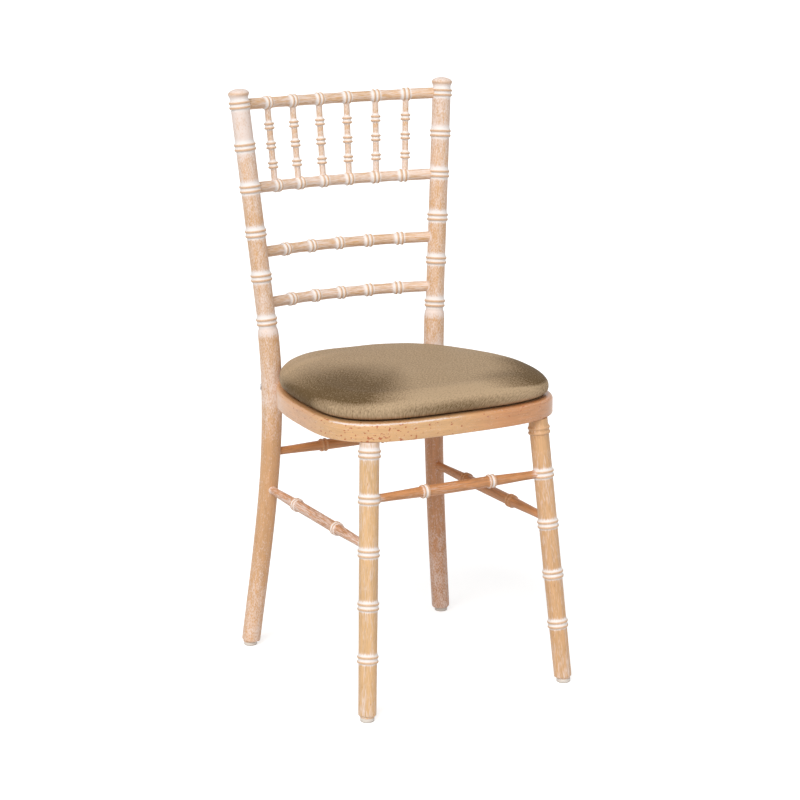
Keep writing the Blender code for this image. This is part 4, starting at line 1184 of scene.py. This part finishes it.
def add_vectors(mesh, name, values):
    layer = mesh.attributes.new(name, "FLOAT_VECTOR", "POINT")
    layer.data.foreach_set("vector", np.asarray(values, np.float32).ravel())


def rounded_corner(centre, radius, start, end, steps):
    """Section points round one corner of the hoop, as insets and heights."""
    points = []
    for step in range(steps + 1):
        angle = math.radians(start + (end - start) * step / steps)
        points.append((centre[0] + radius * math.cos(angle), centre[1] + radius * math.sin(angle)))
    return points


def hoop_section():
    """The hoop's section from its inner bottom edge round the outside to the rebate."""
    rebate = HOOP_WIDTH - REBATE_WIDTH
    floor = SEAT_TOP - REBATE_DEPTH
    low = HOOP_LOWER_ROUND
    high = HOOP_UPPER_ROUND
    return [
        (HOOP_WIDTH, SEAT_BOTTOM + HOOP_EDGE), (HOOP_WIDTH - HOOP_EDGE, SEAT_BOTTOM),
        *rounded_corner((low, SEAT_BOTTOM + low), low, -90, -180, 5),
        *rounded_corner((high, SEAT_TOP - high), high, 180, 90, 9),
        (0.0085, SEAT_TOP), (0.0115, SEAT_TOP), (rebate - HOOP_EDGE, SEAT_TOP),
        (rebate, SEAT_TOP - HOOP_EDGE), (rebate, floor),
        (HOOP_WIDTH - HOOP_EDGE, floor), (HOOP_WIDTH, floor - HOOP_EDGE),
    ]


class CHAIR_OT_seat_hoop(bpy.types.Operator):
    """Bend the seat hoop, with its rounded edges and its rebate"""

    bl_idname = "chair.seat_hoop"
    bl_label = "Seat hoop"

    def execute(self, context):
        outline = seat_outline(HOOP_POINTS)
        forward = np.roll(outline, -1, axis=0) - np.roll(outline, 1, axis=0)
        forward /= np.linalg.norm(forward, axis=1)[:, None]
        inward = np.column_stack((-forward[:, 1], forward[:, 0]))
        steps = np.linalg.norm(np.roll(outline, -1, axis=0) - outline, axis=1)
        along = np.concatenate(([0.0], np.cumsum(steps)[:-1]))
        rows = []
        places = []
        for inset, height in hoop_section():
            plan = outline + inward * inset
            rows.append([(x, y, height) for x, y in plan])
            places += [(inset, height, length) for length in along]
        mesh = loft_mesh("bent_seat_hoop", rows, closed=True)
        add_vectors(mesh, "grain_place", places)
        self.place_lime_and_flecks(mesh)
        hoop = add_object(context, mesh)
        oiled = wood_finish(context, "oiled beech")
        shader = oiled.node_tree.nodes["Principled BSDF"]
        set_inputs(oiled.node_tree, shader, {"Coat Weight": 0.5, "Coat Roughness": 0.18})
        paint(hoop, oiled)
        finish_piece(hoop, ["seat_hoop"])
        return {"FINISHED"}

    def place_lime_and_flecks(self, mesh):
        """Lime by the posts and at the right corner, a painted highlight along the top front edge, flecks,
        and redness that is painted shade.
        """
        points = read_points(mesh)
        x, y, z = points.T

        def distance(place_x, place_y):
            return np.hypot(x - place_x, y - place_y)

        cover = 0.45 * fade(distance(0.188, -0.120), 0.032, 0.020)
        for side in (-1, 1):
            post = post_point(side, SEAT_TOP)
            near = distance(post.x, post.y)
            cover = np.maximum(cover, 0.9 * fade(near, 0.030, 0.012))
            cover = np.maximum(cover, 0.06 * fade(near, 0.14, 0.11))
        # A pale band along the rounded top front edge, laid on as lime: a painted highlight
        painted_edge_highlight = hump(z, SEAT_TOP - 0.0017, 0.0010) * fade(y, -0.130, 0.02) * fade(x, 0.01, 0.06)
        add_numbers(mesh, "lime_cover", cover + painted_edge_highlight)
        add_numbers(mesh, "fleck_cover", 0.64 + 0.44 * hump(distance(-0.150, -0.195), 0, 0.075))
        # Redder at the front left, under the pad's edge, and on the right part, away from the light:
        # painted warm shade
        left = 0.55 * fade(x, -0.11, 0.05) * fade(-y, 0.13, 0.06)
        add_numbers(mesh, "warm_share", np.maximum(left, fade(-x, 0.02, 0.09)))


def lathe_mesh(name, base, axis, profile, sides):
    """A closed turned mesh from lengths and radii along an axis."""
    side_way = axis.orthogonal().normalized()
    other_way = axis.cross(side_way)
    rows = []
    for length, radius in profile:
        row = []
        for index in range(sides):
            angle = 2 * math.pi * index / sides
            way = side_way * math.cos(angle) + other_way * math.sin(angle)
            row.append(base + axis * length + way * radius)
        rows.append(row)
    return loft_mesh(name, rows, closed=False)


class CHAIR_OT_fittings(bpy.types.Operator):
    """Make the glides and the seat bolts, and finish the nails, nuts and screws"""

    bl_idname = "chair.fittings"
    bl_label = "Glides and fittings"

    def execute(self, context):
        for label, side in (("left", -1), ("right", 1)):
            for row, foot in (("front", leg_point(side, 0)), ("rear", post_point(side, 0))):
                self.make_glide(context, f"{row}_{label}", foot)
            self.make_bolt(context, label, side)
        for name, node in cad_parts.items():
            if name.startswith(("glide_nail", "panel_screw", "seat_nut")):
                paint(node, steel_finish())
        return {"FINISHED"}

    def make_glide(self, context, label, foot):
        """A domed nylon disc with a recess for its nail's head."""
        ceiling = NAIL_HEAD_TOP + FIT_GAP
        recess = NAIL_HEAD_RADIUS + FIT_GAP
        profile = [(ceiling, POLE_RADIUS), (ceiling, NAIL_HEAD_RADIUS), (ceiling, recess),
                   (0.0005, recess), (0.0, recess + 0.0005), (0.0, GLIDE_RADIUS - GLIDE_EDGE - 0.0006)]
        for step in range(7):
            angle = math.radians(-90 + 15 * step)
            profile.append((GLIDE_EDGE * (1 + math.sin(angle)),
                            GLIDE_RADIUS - GLIDE_EDGE + GLIDE_EDGE * math.cos(angle)))
        profile += [(GLIDE_HEIGHT - 0.0008, GLIDE_RADIUS), (GLIDE_HEIGHT - 0.0002, GLIDE_RADIUS - 0.0004),
                    (GLIDE_HEIGHT, GLIDE_RADIUS - 0.0010)]
        mesh = lathe_mesh("domed_glide_" + label, foot, Vector((0, 0, 1)), profile, 40)
        glide = add_object(context, mesh)
        paint(glide, nylon_finish())
        finish_piece(glide, ["glide_" + label])

    def make_bolt(self, context, label, side):
        """A bolt with a smooth domed head, square to the hoop."""
        centre = post_point(side, BOLT_HEIGHT)
        near, inward = outline_near(centre)
        depth = Vector((near.x - centre.x, near.y - centre.y, 0)).length
        head = BOLT_SEAT + FIT_GAP
        tip = depth + HOOP_WIDTH + NUT_THICKNESS
        profile = []
        for step in range(9):
            angle = math.radians(88 - 11 * step)
            rise = BOLT_HEAD_HEIGHT - BOLT_HEAD_RIM
            profile.append((-head - BOLT_HEAD_RIM - rise * math.sin(angle),
                            BOLT_HEAD_RADIUS * math.cos(angle)))
        profile += [(-head - 0.0002, BOLT_HEAD_RADIUS), (-head, BOLT_HEAD_RADIUS - 0.0002),
                    (-head, BOLT_RADIUS), (tip - FIT_GAP, BOLT_RADIUS),
                    (tip + FIT_GAP, BOLT_RADIUS - 0.0006)]
        mesh = lathe_mesh("domed_bolt_" + label, centre, inward, profile, 40)
        bolt = add_object(context, mesh)
        paint(bolt, steel_finish())
        finish_piece(bolt, ["seat_bolt_" + label])


def plywood_finish():
    """Birch plywood: pale faces with long grain and layered edges."""
    material, tree, shader = start_material("birch plywood", (0.6, 0.45, 0.28))
    place = object_place(tree)
    parts = add_node(tree, "ShaderNodeSeparateXYZ", {0: place}).outputs
    swapped = add_node(tree, "ShaderNodeCombineXYZ", {0: parts["X"], 1: parts["Z"], 2: parts["Y"]})
    grain = use_group(tree, shared_group("Beech Grain", make_beech_grain), {
        "Place": swapped.outputs[0], "Fleck Cover": 0.1})
    layers = calc(tree, "FRACT", calc(tree, "MULTIPLY", parts["Z"], 1 / 0.0024))
    band = calc(tree, "GREATER_THAN", layers, 0.5)
    pale = (*screen_colour(222, 190, 146), 1.0)
    dark = (*screen_colour(186, 146, 104), 1.0)
    face = blend_colours(tree, grain.outputs["Streaks"], dark, pale)
    edge = blend_colours(tree, calc(tree, "MULTIPLY", band, 0.35), face, dark)
    roughness = remap(tree, grain.outputs["Streaks"], 0.0, 1.0, 0.72, 0.58)
    set_inputs(tree, shader, {"Base Color": edge, "Roughness": roughness})
    add_bump(tree, shader, grain.outputs["Height"], 0.3, 0.0002)
    return material


def tape_finish():
    """Black hook-and-loop tape: short tangled pile."""
    material, tree, shader = start_material("hook and loop tape", (0.03, 0.03, 0.03))
    place = scaled(tree, object_place(tree), (1600.0, 1600.0, 1600.0))
    pile = add_node(tree, "ShaderNodeTexVoronoi", {"Vector": place, "Scale": 1.0}).outputs["Distance"]
    tone = blend_colours(tree, pile, (0.050, 0.050, 0.052, 1), (0.015, 0.015, 0.016, 1))
    roughness = remap(tree, pile, 0.0, 0.8, 0.75, 0.95)
    set_inputs(tree, shader, {"Base Color": tone, "Roughness": roughness})
    add_bump(tree, shader, pile, 0.8, 0.0004)
    return material


class CHAIR_OT_hidden_parts(bpy.types.Operator):
    """Finish the seat panel, the pad's board and the tapes"""

    bl_idname = "chair.hidden_parts"
    bl_label = "Panel, board and tapes"

    def execute(self, context):
        plywood = plywood_finish()
        tape = tape_finish()
        finishes = {"seat_panel": plywood, "pad_board": plywood}
        for name in ("hook_tape_left", "hook_tape_right", "loop_tape_left", "loop_tape_right"):
            finishes[name] = tape
        for name, material in finishes.items():
            paint(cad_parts[name], material)
        return {"FINISHED"}


# Seat pad

# Lightest and darkest values of the painted highlight and painted shade over the pad
PAINTED_LIGHTEST = -0.40
PAINTED_DARKEST = 1.10


def pad_profile():
    """Insets and heights of the pad's outer face, from its hem to its crown."""
    rows = []
    for step in range(5):
        angle = math.pi / 2 * step / 5
        rows.append((PAD_UNDERCUT * (1 - math.sin(angle)), PAD_WIDEST_RISE * (1 - math.cos(angle))))
    power = 2 / PAD_EDGE_POWER
    rise = PAD_EDGE_HEIGHT - PAD_WIDEST_RISE
    for step in range(15):
        angle = math.pi / 2 * step / 14
        across = max(0.0, math.cos(angle)) ** power
        rows.append((PAD_EDGE_WIDTH * (1 - across), PAD_WIDEST_RISE + rise * math.sin(angle) ** power))
    for step in range(1, 5):
        share = step / 4
        rows.append((PAD_EDGE_WIDTH + PAD_CROWN_WIDTH * share,
                     PAD_EDGE_HEIGHT + PAD_CROWN_RISE * math.sin(share * math.pi / 2)))
    return [(PAD_INSET + inset, COVER_BOTTOM + height) for inset, height in rows]


def pad_row(outline, inset, height):
    """The seat outline drawn in evenly towards the middle of the seat."""
    across = 1 - inset / SEAT_HALF_WIDTH
    along = 1 - inset / SEAT_HALF_DEPTH
    return [(x * across, SEAT_MIDDLE_Y + (y - SEAT_MIDDLE_Y) * along, height) for x, y in outline]


def smooth_step(values, low, high):
    share = np.clip((values - low) / (high - low), 0, 1)
    return share * share * (3 - 2 * share)


def above_hem(heights, low, high):
    """Rise from 0 to 1 between two heights over the pad's hem."""
    return smooth_step(heights, COVER_BOTTOM + low, COVER_BOTTOM + high)


def soft_window(values, start, full, fade, end):
    """Rise from 0 to 1 between two values, and fall again between two more."""
    return smooth_step(values, start, full) - smooth_step(values, fade, end)


def edge_place(points):
    """The way round the seat in degrees, from the back by the left, and the distance inwards."""
    outline = seat_outline(720)

    def polar(plan):
        across = plan[:, 0] / SEAT_HALF_WIDTH
        along = (plan[:, 1] - SEAT_MIDDLE_Y) / SEAT_HALF_DEPTH
        return (np.degrees(np.arctan2(along, across)) - 90) % 360, np.hypot(across, along)

    way, reach = polar(points)
    edge_way, edge_reach = polar(outline)
    order = np.argsort(edge_way)
    full = np.interp(way, edge_way[order], edge_reach[order], period=360)
    return way, 0.215 * (1 - reach / full)


# Zones of the pad's top with painted shade, or painted highlight where the darkness is below 0,
# where the pad is pressed at the left and at the front right: darkness, four ways round that bound
# the zone, where it starts inwards by the way round, how softly it starts, and where it fades and
# ends inwards
PAINTED_PAD_ZONES = (
    (1.06, (50, 115, 133, 162),
     ((90, -0.006), (100, -0.003), (112, 0.003), (120, 0.007), (140, 0.010)), 0.0125, (0.070, 0.212)),
    (1.15, (193, 219, 240, 262), ((180, 0.0212), (270, -0.0046)), 0.005, (0.024, 0.096)),
    (-0.35, (134, 145, 215, 224), ((0, 0.002),), 0.005, (0.030, 0.060)),
    (-0.12, (15, 40, 68, 92), ((0, 0.004),), 0.010, (0.045, 0.090)),
)
# Painted shade low on the pad's side, just above the hoop: darkness, way round and reach
PAINTED_RIM_SHADE = ((0.97, 176, 29), (1.067, 92, 21))


def nap_shade(points, way, inwards):
    """How much painted shade lies at each point, and painted highlight where the value is below 0."""
    # The creases are painted lighter: a painted highlight along the folds
    shade = -0.05 - 0.30 * creases(points)
    for darkness, ways, starts, softness, ends in PAINTED_PAD_ZONES:
        start = read_table(way, starts)
        inside = soft_window(inwards, start, start + softness, *ends)
        shade += darkness * soft_window(way, *ways) * inside
    side = 1 - above_hem(points[:, 2], 0.012, 0.0265)
    for darkness, middle, reach in PAINTED_RIM_SHADE:
        shade += darkness * side * hump(way, middle, reach)
    return shade


def soft_spot(points, middle, length, width, turn_degrees):
    """A soft oval mask in plan, 1 in its middle."""
    angle = math.radians(turn_degrees)
    away = points[:, :2] - np.array(middle)
    along = away[:, 0] * math.cos(angle) + away[:, 1] * math.sin(angle)
    aside = -away[:, 0] * math.sin(angle) + away[:, 1] * math.cos(angle)
    return np.exp(-((along / length) ** 2) - (aside / width) ** 2)


# Soft ovals pressed into the pad, or pushed out of it where the depth is less than 0:
# depth, middle, half length, half width and turn in degrees
PAD_SPOTS = (
    (0.0030, (-0.152, -0.128), 0.078, 0.058, 68),
    (0.0012, (-0.115, -0.050), 0.080, 0.058, 60),
    (0.0022, (0.154, -0.174), 0.070, 0.050, 110),
    (0.0008, (-0.005, -0.224), 0.060, 0.014, 0),
    (-0.0058, (0.157, -0.055), 0.078, 0.050, 98),
    (-0.0022, (-0.085, 0.150), 0.070, 0.045, 30),
    (0.0022, (-0.182, 0.055), 0.055, 0.030, 90),
)
# Two long folds at the back left, also painted lighter as a painted highlight: height, middle, half length,
# half width and turn
CREASES = (
    (1.0, (-0.115, 0.083), 0.060, 0.011, 17),
    (0.6, (-0.117, 0.114), 0.038, 0.007, 21),
)
CREASE_HEIGHT = 0.0009


def sum_of_spots(points, spots):
    return sum(amount * soft_spot(points, *oval) for amount, *oval in spots)


def creases(points):
    return sum_of_spots(points, CREASES)


def point_normals(mesh):
    values = np.empty(len(mesh.vertices) * 3, np.float32)
    mesh.vertex_normals.foreach_get("vector", values)
    return values.reshape(-1, 3)


def even_out(mesh, moves, rounds):
    """Average each point's move with its neighbours' a number of times."""
    ends = np.empty(len(mesh.edges) * 2, np.int32)
    mesh.edges.foreach_get("vertices", ends)
    first, second = ends.reshape(-1, 2).T
    neighbours = np.bincount(ends, minlength=len(moves))
    for _ in range(rounds):
        total = np.zeros_like(moves)
        np.add.at(total, first, moves[second])
        np.add.at(total, second, moves[first])
        moves = (moves + total / neighbours) / 2
    return moves


def swell(context, pad):
    """Blow the pad's top up a little with cloth simulation, its sewn sides held still."""
    settings = context.scene.chair_pad
    start = read_points(pad.data)
    free = above_hem(start[:, 2], PAD_FREE_LOW, PAD_FREE_HIGH)
    group = pad.vertex_groups.new(name="held")
    for index, share in enumerate(free):
        group.add([index], float(1 - share), "REPLACE")
    cloth = pad.modifiers.new("Swell", "CLOTH")
    cloth.settings.use_pressure = True
    cloth.settings.uniform_pressure_force = settings.pressure
    cloth.settings.effector_weights.gravity = 0.0
    cloth.settings.vertex_group_mass = "held"
    cloth.point_cache.frame_start = 1
    cloth.point_cache.frame_end = SWELL_FRAMES
    for number in range(1, SWELL_FRAMES + 1):
        context.scene.frame_set(number)
    depsgraph = context.evaluated_depsgraph_get()
    swollen = read_points(pad.evaluated_get(depsgraph).to_mesh())
    pad.evaluated_get(depsgraph).to_mesh_clear()
    pad.modifiers.remove(cloth)
    context.scene.frame_set(1)
    rise = even_out(pad.data, np.maximum(swollen[:, 2] - start[:, 2], 0), EVENING_ROUNDS)
    limit = settings.swell_limit
    start[:, 2] += free * limit * np.tanh(SWELL_GAIN * rise / limit)
    write_points(pad.data, start)
    pad.vertex_groups.clear()


def apply_modifiers(context, piece):
    """Turn a piece's modifiers into plain mesh."""
    depsgraph = context.evaluated_depsgraph_get()
    made = bpy.data.meshes.new_from_object(
        piece.evaluated_get(depsgraph), preserve_all_data_layers=True, depsgraph=depsgraph)
    piece.modifiers.clear()
    piece.data = made


def make_cloth_finish(context):
    """Satin cloth coloured between its lit and its shaded colour by painted shade and painted highlights,
    with painted shade over its gathers.
    """
    settings = context.scene.chair_pad
    material, tree, shader = start_material("satin cloth", settings.cloth)
    place = read_attribute(tree, "cloth_place", "Vector")
    turned = add_node(tree, "ShaderNodeMapping", {"Vector": place, "Rotation": (0, 0, -0.73)}).outputs[0]
    threads = noise(tree, scaled(tree, turned, (500.0, 1900.0, 900.0)), 2.0)
    weave = noise(tree, scaled(tree, turned, (190.0, 470.0, 470.0)), 1.5)
    clouds = noise(tree, scaled(tree, place, (22.0, 30.0, 22.0)), 2.0)
    # The gathers' stripes, painted as shade in the colour and laid into the bump
    hem_place = read_attribute(tree, "hem_place", "Vector")
    gathers = noise(tree, scaled(tree, hem_place, (420.0, 420.0, 420.0)), 1.0)
    gathers = calc(tree, "SUBTRACT", gathers, 0.5)
    gathered = calc(tree, "MULTIPLY", read_attribute(tree, "gathered"), gathers)
    grain = calc(tree, "MULTIPLY_ADD", weave, 1.35, calc(tree, "MULTIPLY", threads, 0.50))
    uneven = calc(tree, "MULTIPLY_ADD", clouds, 0.12, -0.06)
    # Painted shade and painted highlight, with random clouds and the gathers' painted shade
    nap = calc(tree, "ADD", read_attribute(tree, "nap_shade"), uneven)
    nap = calc(tree, "ADD", nap, gathered)
    shade = calc(tree, "ADD", nap, calc(tree, "SUBTRACT", grain, 0.925), clamp=True)
    tone = blend_colours(tree, shade, (*settings.cloth, 1.0), (*settings.shade, 1.0))
    set_inputs(tree, shader, {
        "Base Color": tone,
        "Roughness": remap(tree, threads, 0.2, 0.8, 0.55, 0.70),
        "Specular IOR Level": 0.08,
        "Sheen Weight": 0.04,
        "Sheen Roughness": 0.4,
    })
    height = calc(tree, "ADD", threads, weave)
    height = calc(tree, "SUBTRACT", height, calc(tree, "MULTIPLY", gathered, 4.0))
    add_bump(tree, shader, height, 0.30, 0.0004)
    return material


class CHAIR_OT_seat_pad(bpy.types.Operator):
    """Stuff and cover the loose seat pad"""

    bl_idname = "chair.seat_pad"
    bl_label = "Seat pad"

    def execute(self, context):
        pad = self.make_blank(context)
        swell(context, pad)
        modifier = pad.modifiers.new("Soften", "SUBSURF")
        modifier.levels = 1
        modifier.render_levels = 1
        apply_modifiers(context, pad)
        self.press(pad.data)
        self.hollow_underside(context, pad)
        self.map_cloth(pad.data)
        paint(pad, make_cloth_finish(context))
        finish_piece(pad, ["pad_cover", "pad_foam"], "seat_pad")
        return {"FINISHED"}

    def make_blank(self, context):
        """A crowned closed form, a little low, in an even mesh."""
        shrink = context.scene.chair_pad.shrink
        outline = seat_outline(PAD_POINTS)
        sections = pad_profile()
        edge_inset, edge_height = sections[-1]
        sections.append((edge_inset + PAD_CENTRE_WIDTH, edge_height + PAD_CENTRE_RISE))
        rows = []
        for inset, height in sections:
            free = above_hem(height, PAD_FREE_LOW, PAD_FREE_HIGH)
            rows.append(pad_row(outline, inset, height - shrink * free))
        mesh = loft_mesh("stuffed_seat_pad", rows, closed=False)
        pad = add_object(context, mesh)
        face_outwards(mesh)
        remesh = pad.modifiers.new("Even mesh", "REMESH")
        remesh.mode = "VOXEL"
        remesh.voxel_size = PAD_VOXEL
        apply_modifiers(context, pad)
        return pad

    def press(self, mesh):
        """Hollows, waves and gathers in the cover."""
        points = read_points(mesh)
        normals = point_normals(mesh)
        way, _ = edge_place(points)
        side = 1 - above_hem(points[:, 2], 0.012, 0.026)
        sunk = sum_of_spots(points, PAD_SPOTS) - CREASE_HEIGHT * creases(points)
        sunk += side * self.gathers(way)
        points -= normals * (sunk * above_hem(points[:, 2], 0.006, 0.020))[:, None]
        write_points(mesh, points)

    def gathers(self, way):
        """Shallow gathers in the side, deepest at the front corners and the left back."""
        angle = np.radians(way)
        ripples = np.sin(61 * angle + 2.2 * np.sin(5 * angle)) * np.sin(17 * angle + 0.8)
        corners = 0.35 + hump(way, 122, 18) + 0.6 * hump(way, 225, 17) + 0.6 * hump(way, 65, 23)
        return 0.00045 * ripples * corners

    def hollow_underside(self, context, pad):
        """Cut the room that the board fills, inside the turned-in hem."""
        outline = seat_outline(PAD_POINTS)
        hem_top = COVER_BOTTOM + CLOTH_THICKNESS
        room_inset = BOARD_INSET - FIT_GAP
        section = [(HEM_INSET, COVER_BOTTOM - 0.01), (HEM_INSET, hem_top),
                   (room_inset, hem_top), (room_inset, BOARD_TOP + FIT_GAP)]
        mesh = loft_mesh("board_room", [pad_row(outline, *row) for row in section], closed=False)
        face_outwards(mesh)
        cutter = add_object(context, mesh)
        cut = pad.modifiers.new("Board room", "BOOLEAN")
        cut.operation = "DIFFERENCE"
        cut.solver = "EXACT"
        cut.object = cutter
        apply_modifiers(context, pad)
        bpy.data.objects.remove(cutter)

    def map_cloth(self, mesh):
        """Lay the cloth's own coordinates over the top and down the sides, and store the painted shade and
        highlights.
        """
        points = read_points(mesh)
        away = points[:, :2] - np.array((0.0, SEAT_MIDDLE_Y))
        reach = np.linalg.norm(away, axis=1)
        crown = points[:, 2].max()
        unrolled = (reach + 0.9 * (crown - points[:, 2])) / np.maximum(reach, 1e-6)
        plan = away * unrolled[:, None]
        add_vectors(mesh, "cloth_place", np.column_stack((plan, np.zeros(len(points)))))
        way, inwards = edge_place(points)
        # Painted shade and highlight, spread from 0 to 1
        shade = (nap_shade(points, way, inwards) - PAINTED_LIGHTEST) / (PAINTED_DARKEST - PAINTED_LIGHTEST)
        add_numbers(mesh, "nap_shade", np.clip(shade, 0, 1))
        angle = np.radians(way)
        circle = [0.2 * np.cos(angle), 0.2 * np.sin(angle), 0.3 * inwards]
        add_vectors(mesh, "hem_place", np.column_stack(circle))
        # Where the gathers get their painted shade and bump: the front corners low on the side, and a
        # little at the left back
        corners = hump(way, 121, 18) + 0.5 * hump(way, 225, 20)
        side = 1 - above_hem(points[:, 2], 0.008, 0.022)
        behind = soft_window(way, 45, 65, 85, 110) * soft_window(inwards, 0.002, 0.008, 0.030, 0.060)
        add_numbers(mesh, "gathered", side * np.clip(corners, 0.05, 1) + 0.10 * behind)


# Stage

class CHAIR_OT_stage(bpy.types.Operator):
    """Lay the floor and set the lights, the surround and the camera"""

    bl_idname = "chair.stage"
    bl_label = "Floor, lights and camera"

    def execute(self, context):
        look = context.scene.chair_stage
        self.make_floor(context, look)
        self.make_surround(context, look)
        self.make_sun(context, "key light", look.key_strength, azimuth=-50, elevation=42, softness=34)
        self.make_sun(context, "front light", look.front_strength, azimuth=-18, elevation=30, softness=60)
        self.make_camera(context, look)
        context.scene.view_settings.view_transform = "Standard"
        return {"FINISHED"}

    def shown_directly(self, tree):
        """1 for the camera, mirrors and glass, 0 for light that falls on other things."""
        path = tree.nodes.new("ShaderNodeLightPath")
        mirror = calc(tree, "MAXIMUM", path.outputs["Is Glossy Ray"], path.outputs["Is Transmission Ray"])
        return calc(tree, "MAXIMUM", path.outputs["Is Camera Ray"], mirror)

    def make_floor(self, context, look):
        mesh = bpy.data.meshes.new("floor")
        corners = [(FLOOR_REACH * x, FLOOR_REACH * y, 0) for x, y in ((-1, -1), (1, -1), (1, 1), (-1, 1))]
        mesh.from_pydata(corners, [], [(0, 1, 2, 3)])
        floor = add_object(context, mesh)
        material, tree, shader = start_material("pale floor", look.floor)
        set_inputs(tree, shader, {
            "Base Color": (*look.floor, 1.0), "Roughness": 0.9, "Specular IOR Level": 0.0})
        glow = add_node(tree, "ShaderNodeEmission", {"Color": (1, 1, 1, 1), "Strength": FLOOR_GLOW})
        both = add_node(tree, "ShaderNodeAddShader", {0: shader.outputs[0], 1: glow.outputs[0]})
        chosen = add_node(tree, "ShaderNodeMixShader", {
            0: self.shown_directly(tree), 1: shader.outputs[0], 2: both.outputs[0]})
        set_inputs(tree, tree.nodes["Material Output"], {"Surface": chosen.outputs[0]})
        paint(floor, material)

    def make_surround(self, context, look):
        world = bpy.data.worlds.new("surround")
        context.scene.world = world
        world.use_nodes = True
        tree = world.node_tree
        light = tree.nodes["Background"]
        set_inputs(tree, light, {"Color": (1, 1, 1, 1), "Strength": look.surround})
        white = add_node(tree, "ShaderNodeBackground", {"Color": (1, 1, 1, 1), "Strength": 1.0})
        chosen = add_node(tree, "ShaderNodeMixShader", {
            0: self.shown_directly(tree), 1: light.outputs[0], 2: white.outputs[0]})
        set_inputs(tree, tree.nodes["World Output"], {"Surface": chosen.outputs[0]})

    def make_sun(self, context, name, strength, azimuth, elevation, softness):
        """A wide soft light; azimuth 0 is straight in front, and less than 0 is to the left."""
        light = bpy.data.lights.new(name, "SUN")
        light.energy = strength
        light.angle = math.radians(softness)
        lamp = add_object(context, light)
        lamp.rotation_euler = (math.radians(90 - elevation), 0, math.radians(azimuth))
        lamp.location = (0, 0, 2)

    def make_camera(self, context, look):
        camera_data = bpy.data.cameras.new("camera")
        camera_data.lens = look.lens
        camera_data.sensor_width = 36.0
        camera = add_object(context, camera_data)
        camera.location = CAMERA_PLACE
        camera.rotation_euler = (math.pi / 2 - CAMERA_DROP, 0, CAMERA_TURN)
        context.scene.camera = camera


class CHAIR_PT_panel(bpy.types.Panel):
    """Lists the chair's settings and makers"""

    bl_idname = "CHAIR_PT_panel"
    bl_label = "Limed Beech Chair"
    bl_space_type = "VIEW_3D"
    bl_region_type = "UI"
    bl_category = "Chair"

    def draw(self, context):
        layout = self.layout
        for owner, (title, _) in SETTINGS.items():
            box = layout.box()
            box.label(text=title)
            settings = getattr(context.scene, owner)
            for name in settings.__annotations__:
                box.prop(settings, name)
        for operator in MAKERS:
            layout.operator(operator.bl_idname)


SETTINGS = {
    "chair_turning": ("Turning", TurningSizes),
    "chair_wood": ("Wood", WoodFinish),
    "chair_pad": ("Pad", PadFinish),
    "chair_stage": ("Stage", StageLook),
}
MAKERS = (
    CHAIR_OT_rear_posts,
    CHAIR_OT_front_legs,
    CHAIR_OT_back_rails,
    CHAIR_OT_spindles,
    CHAIR_OT_stretchers,
    CHAIR_OT_seat_hoop,
    CHAIR_OT_fittings,
    CHAIR_OT_hidden_parts,
    CHAIR_OT_seat_pad,
    CHAIR_OT_stage,
)


def register():
    for owner, (_, group) in SETTINGS.items():
        bpy.utils.register_class(group)
        setattr(bpy.types.Scene, owner, PointerProperty(type=group))
    for maker in MAKERS:
        bpy.utils.register_class(maker)
    bpy.utils.register_class(CHAIR_PT_panel)


def unregister():
    bpy.utils.unregister_class(CHAIR_PT_panel)
    for maker in reversed(MAKERS):
        bpy.utils.unregister_class(maker)
    for owner, (_, group) in SETTINGS.items():
        delattr(bpy.types.Scene, owner)
        bpy.utils.unregister_class(group)


def main():
    register()
    bpy.ops.chair.rear_posts()
    bpy.ops.chair.front_legs()
    bpy.ops.chair.back_rails()
    bpy.ops.chair.spindles()
    bpy.ops.chair.stretchers()
    bpy.ops.chair.seat_hoop()
    bpy.ops.chair.fittings()
    bpy.ops.chair.hidden_parts()
    bpy.ops.chair.seat_pad()
    bpy.ops.chair.stage()


if __name__ == "__main__":
    main()
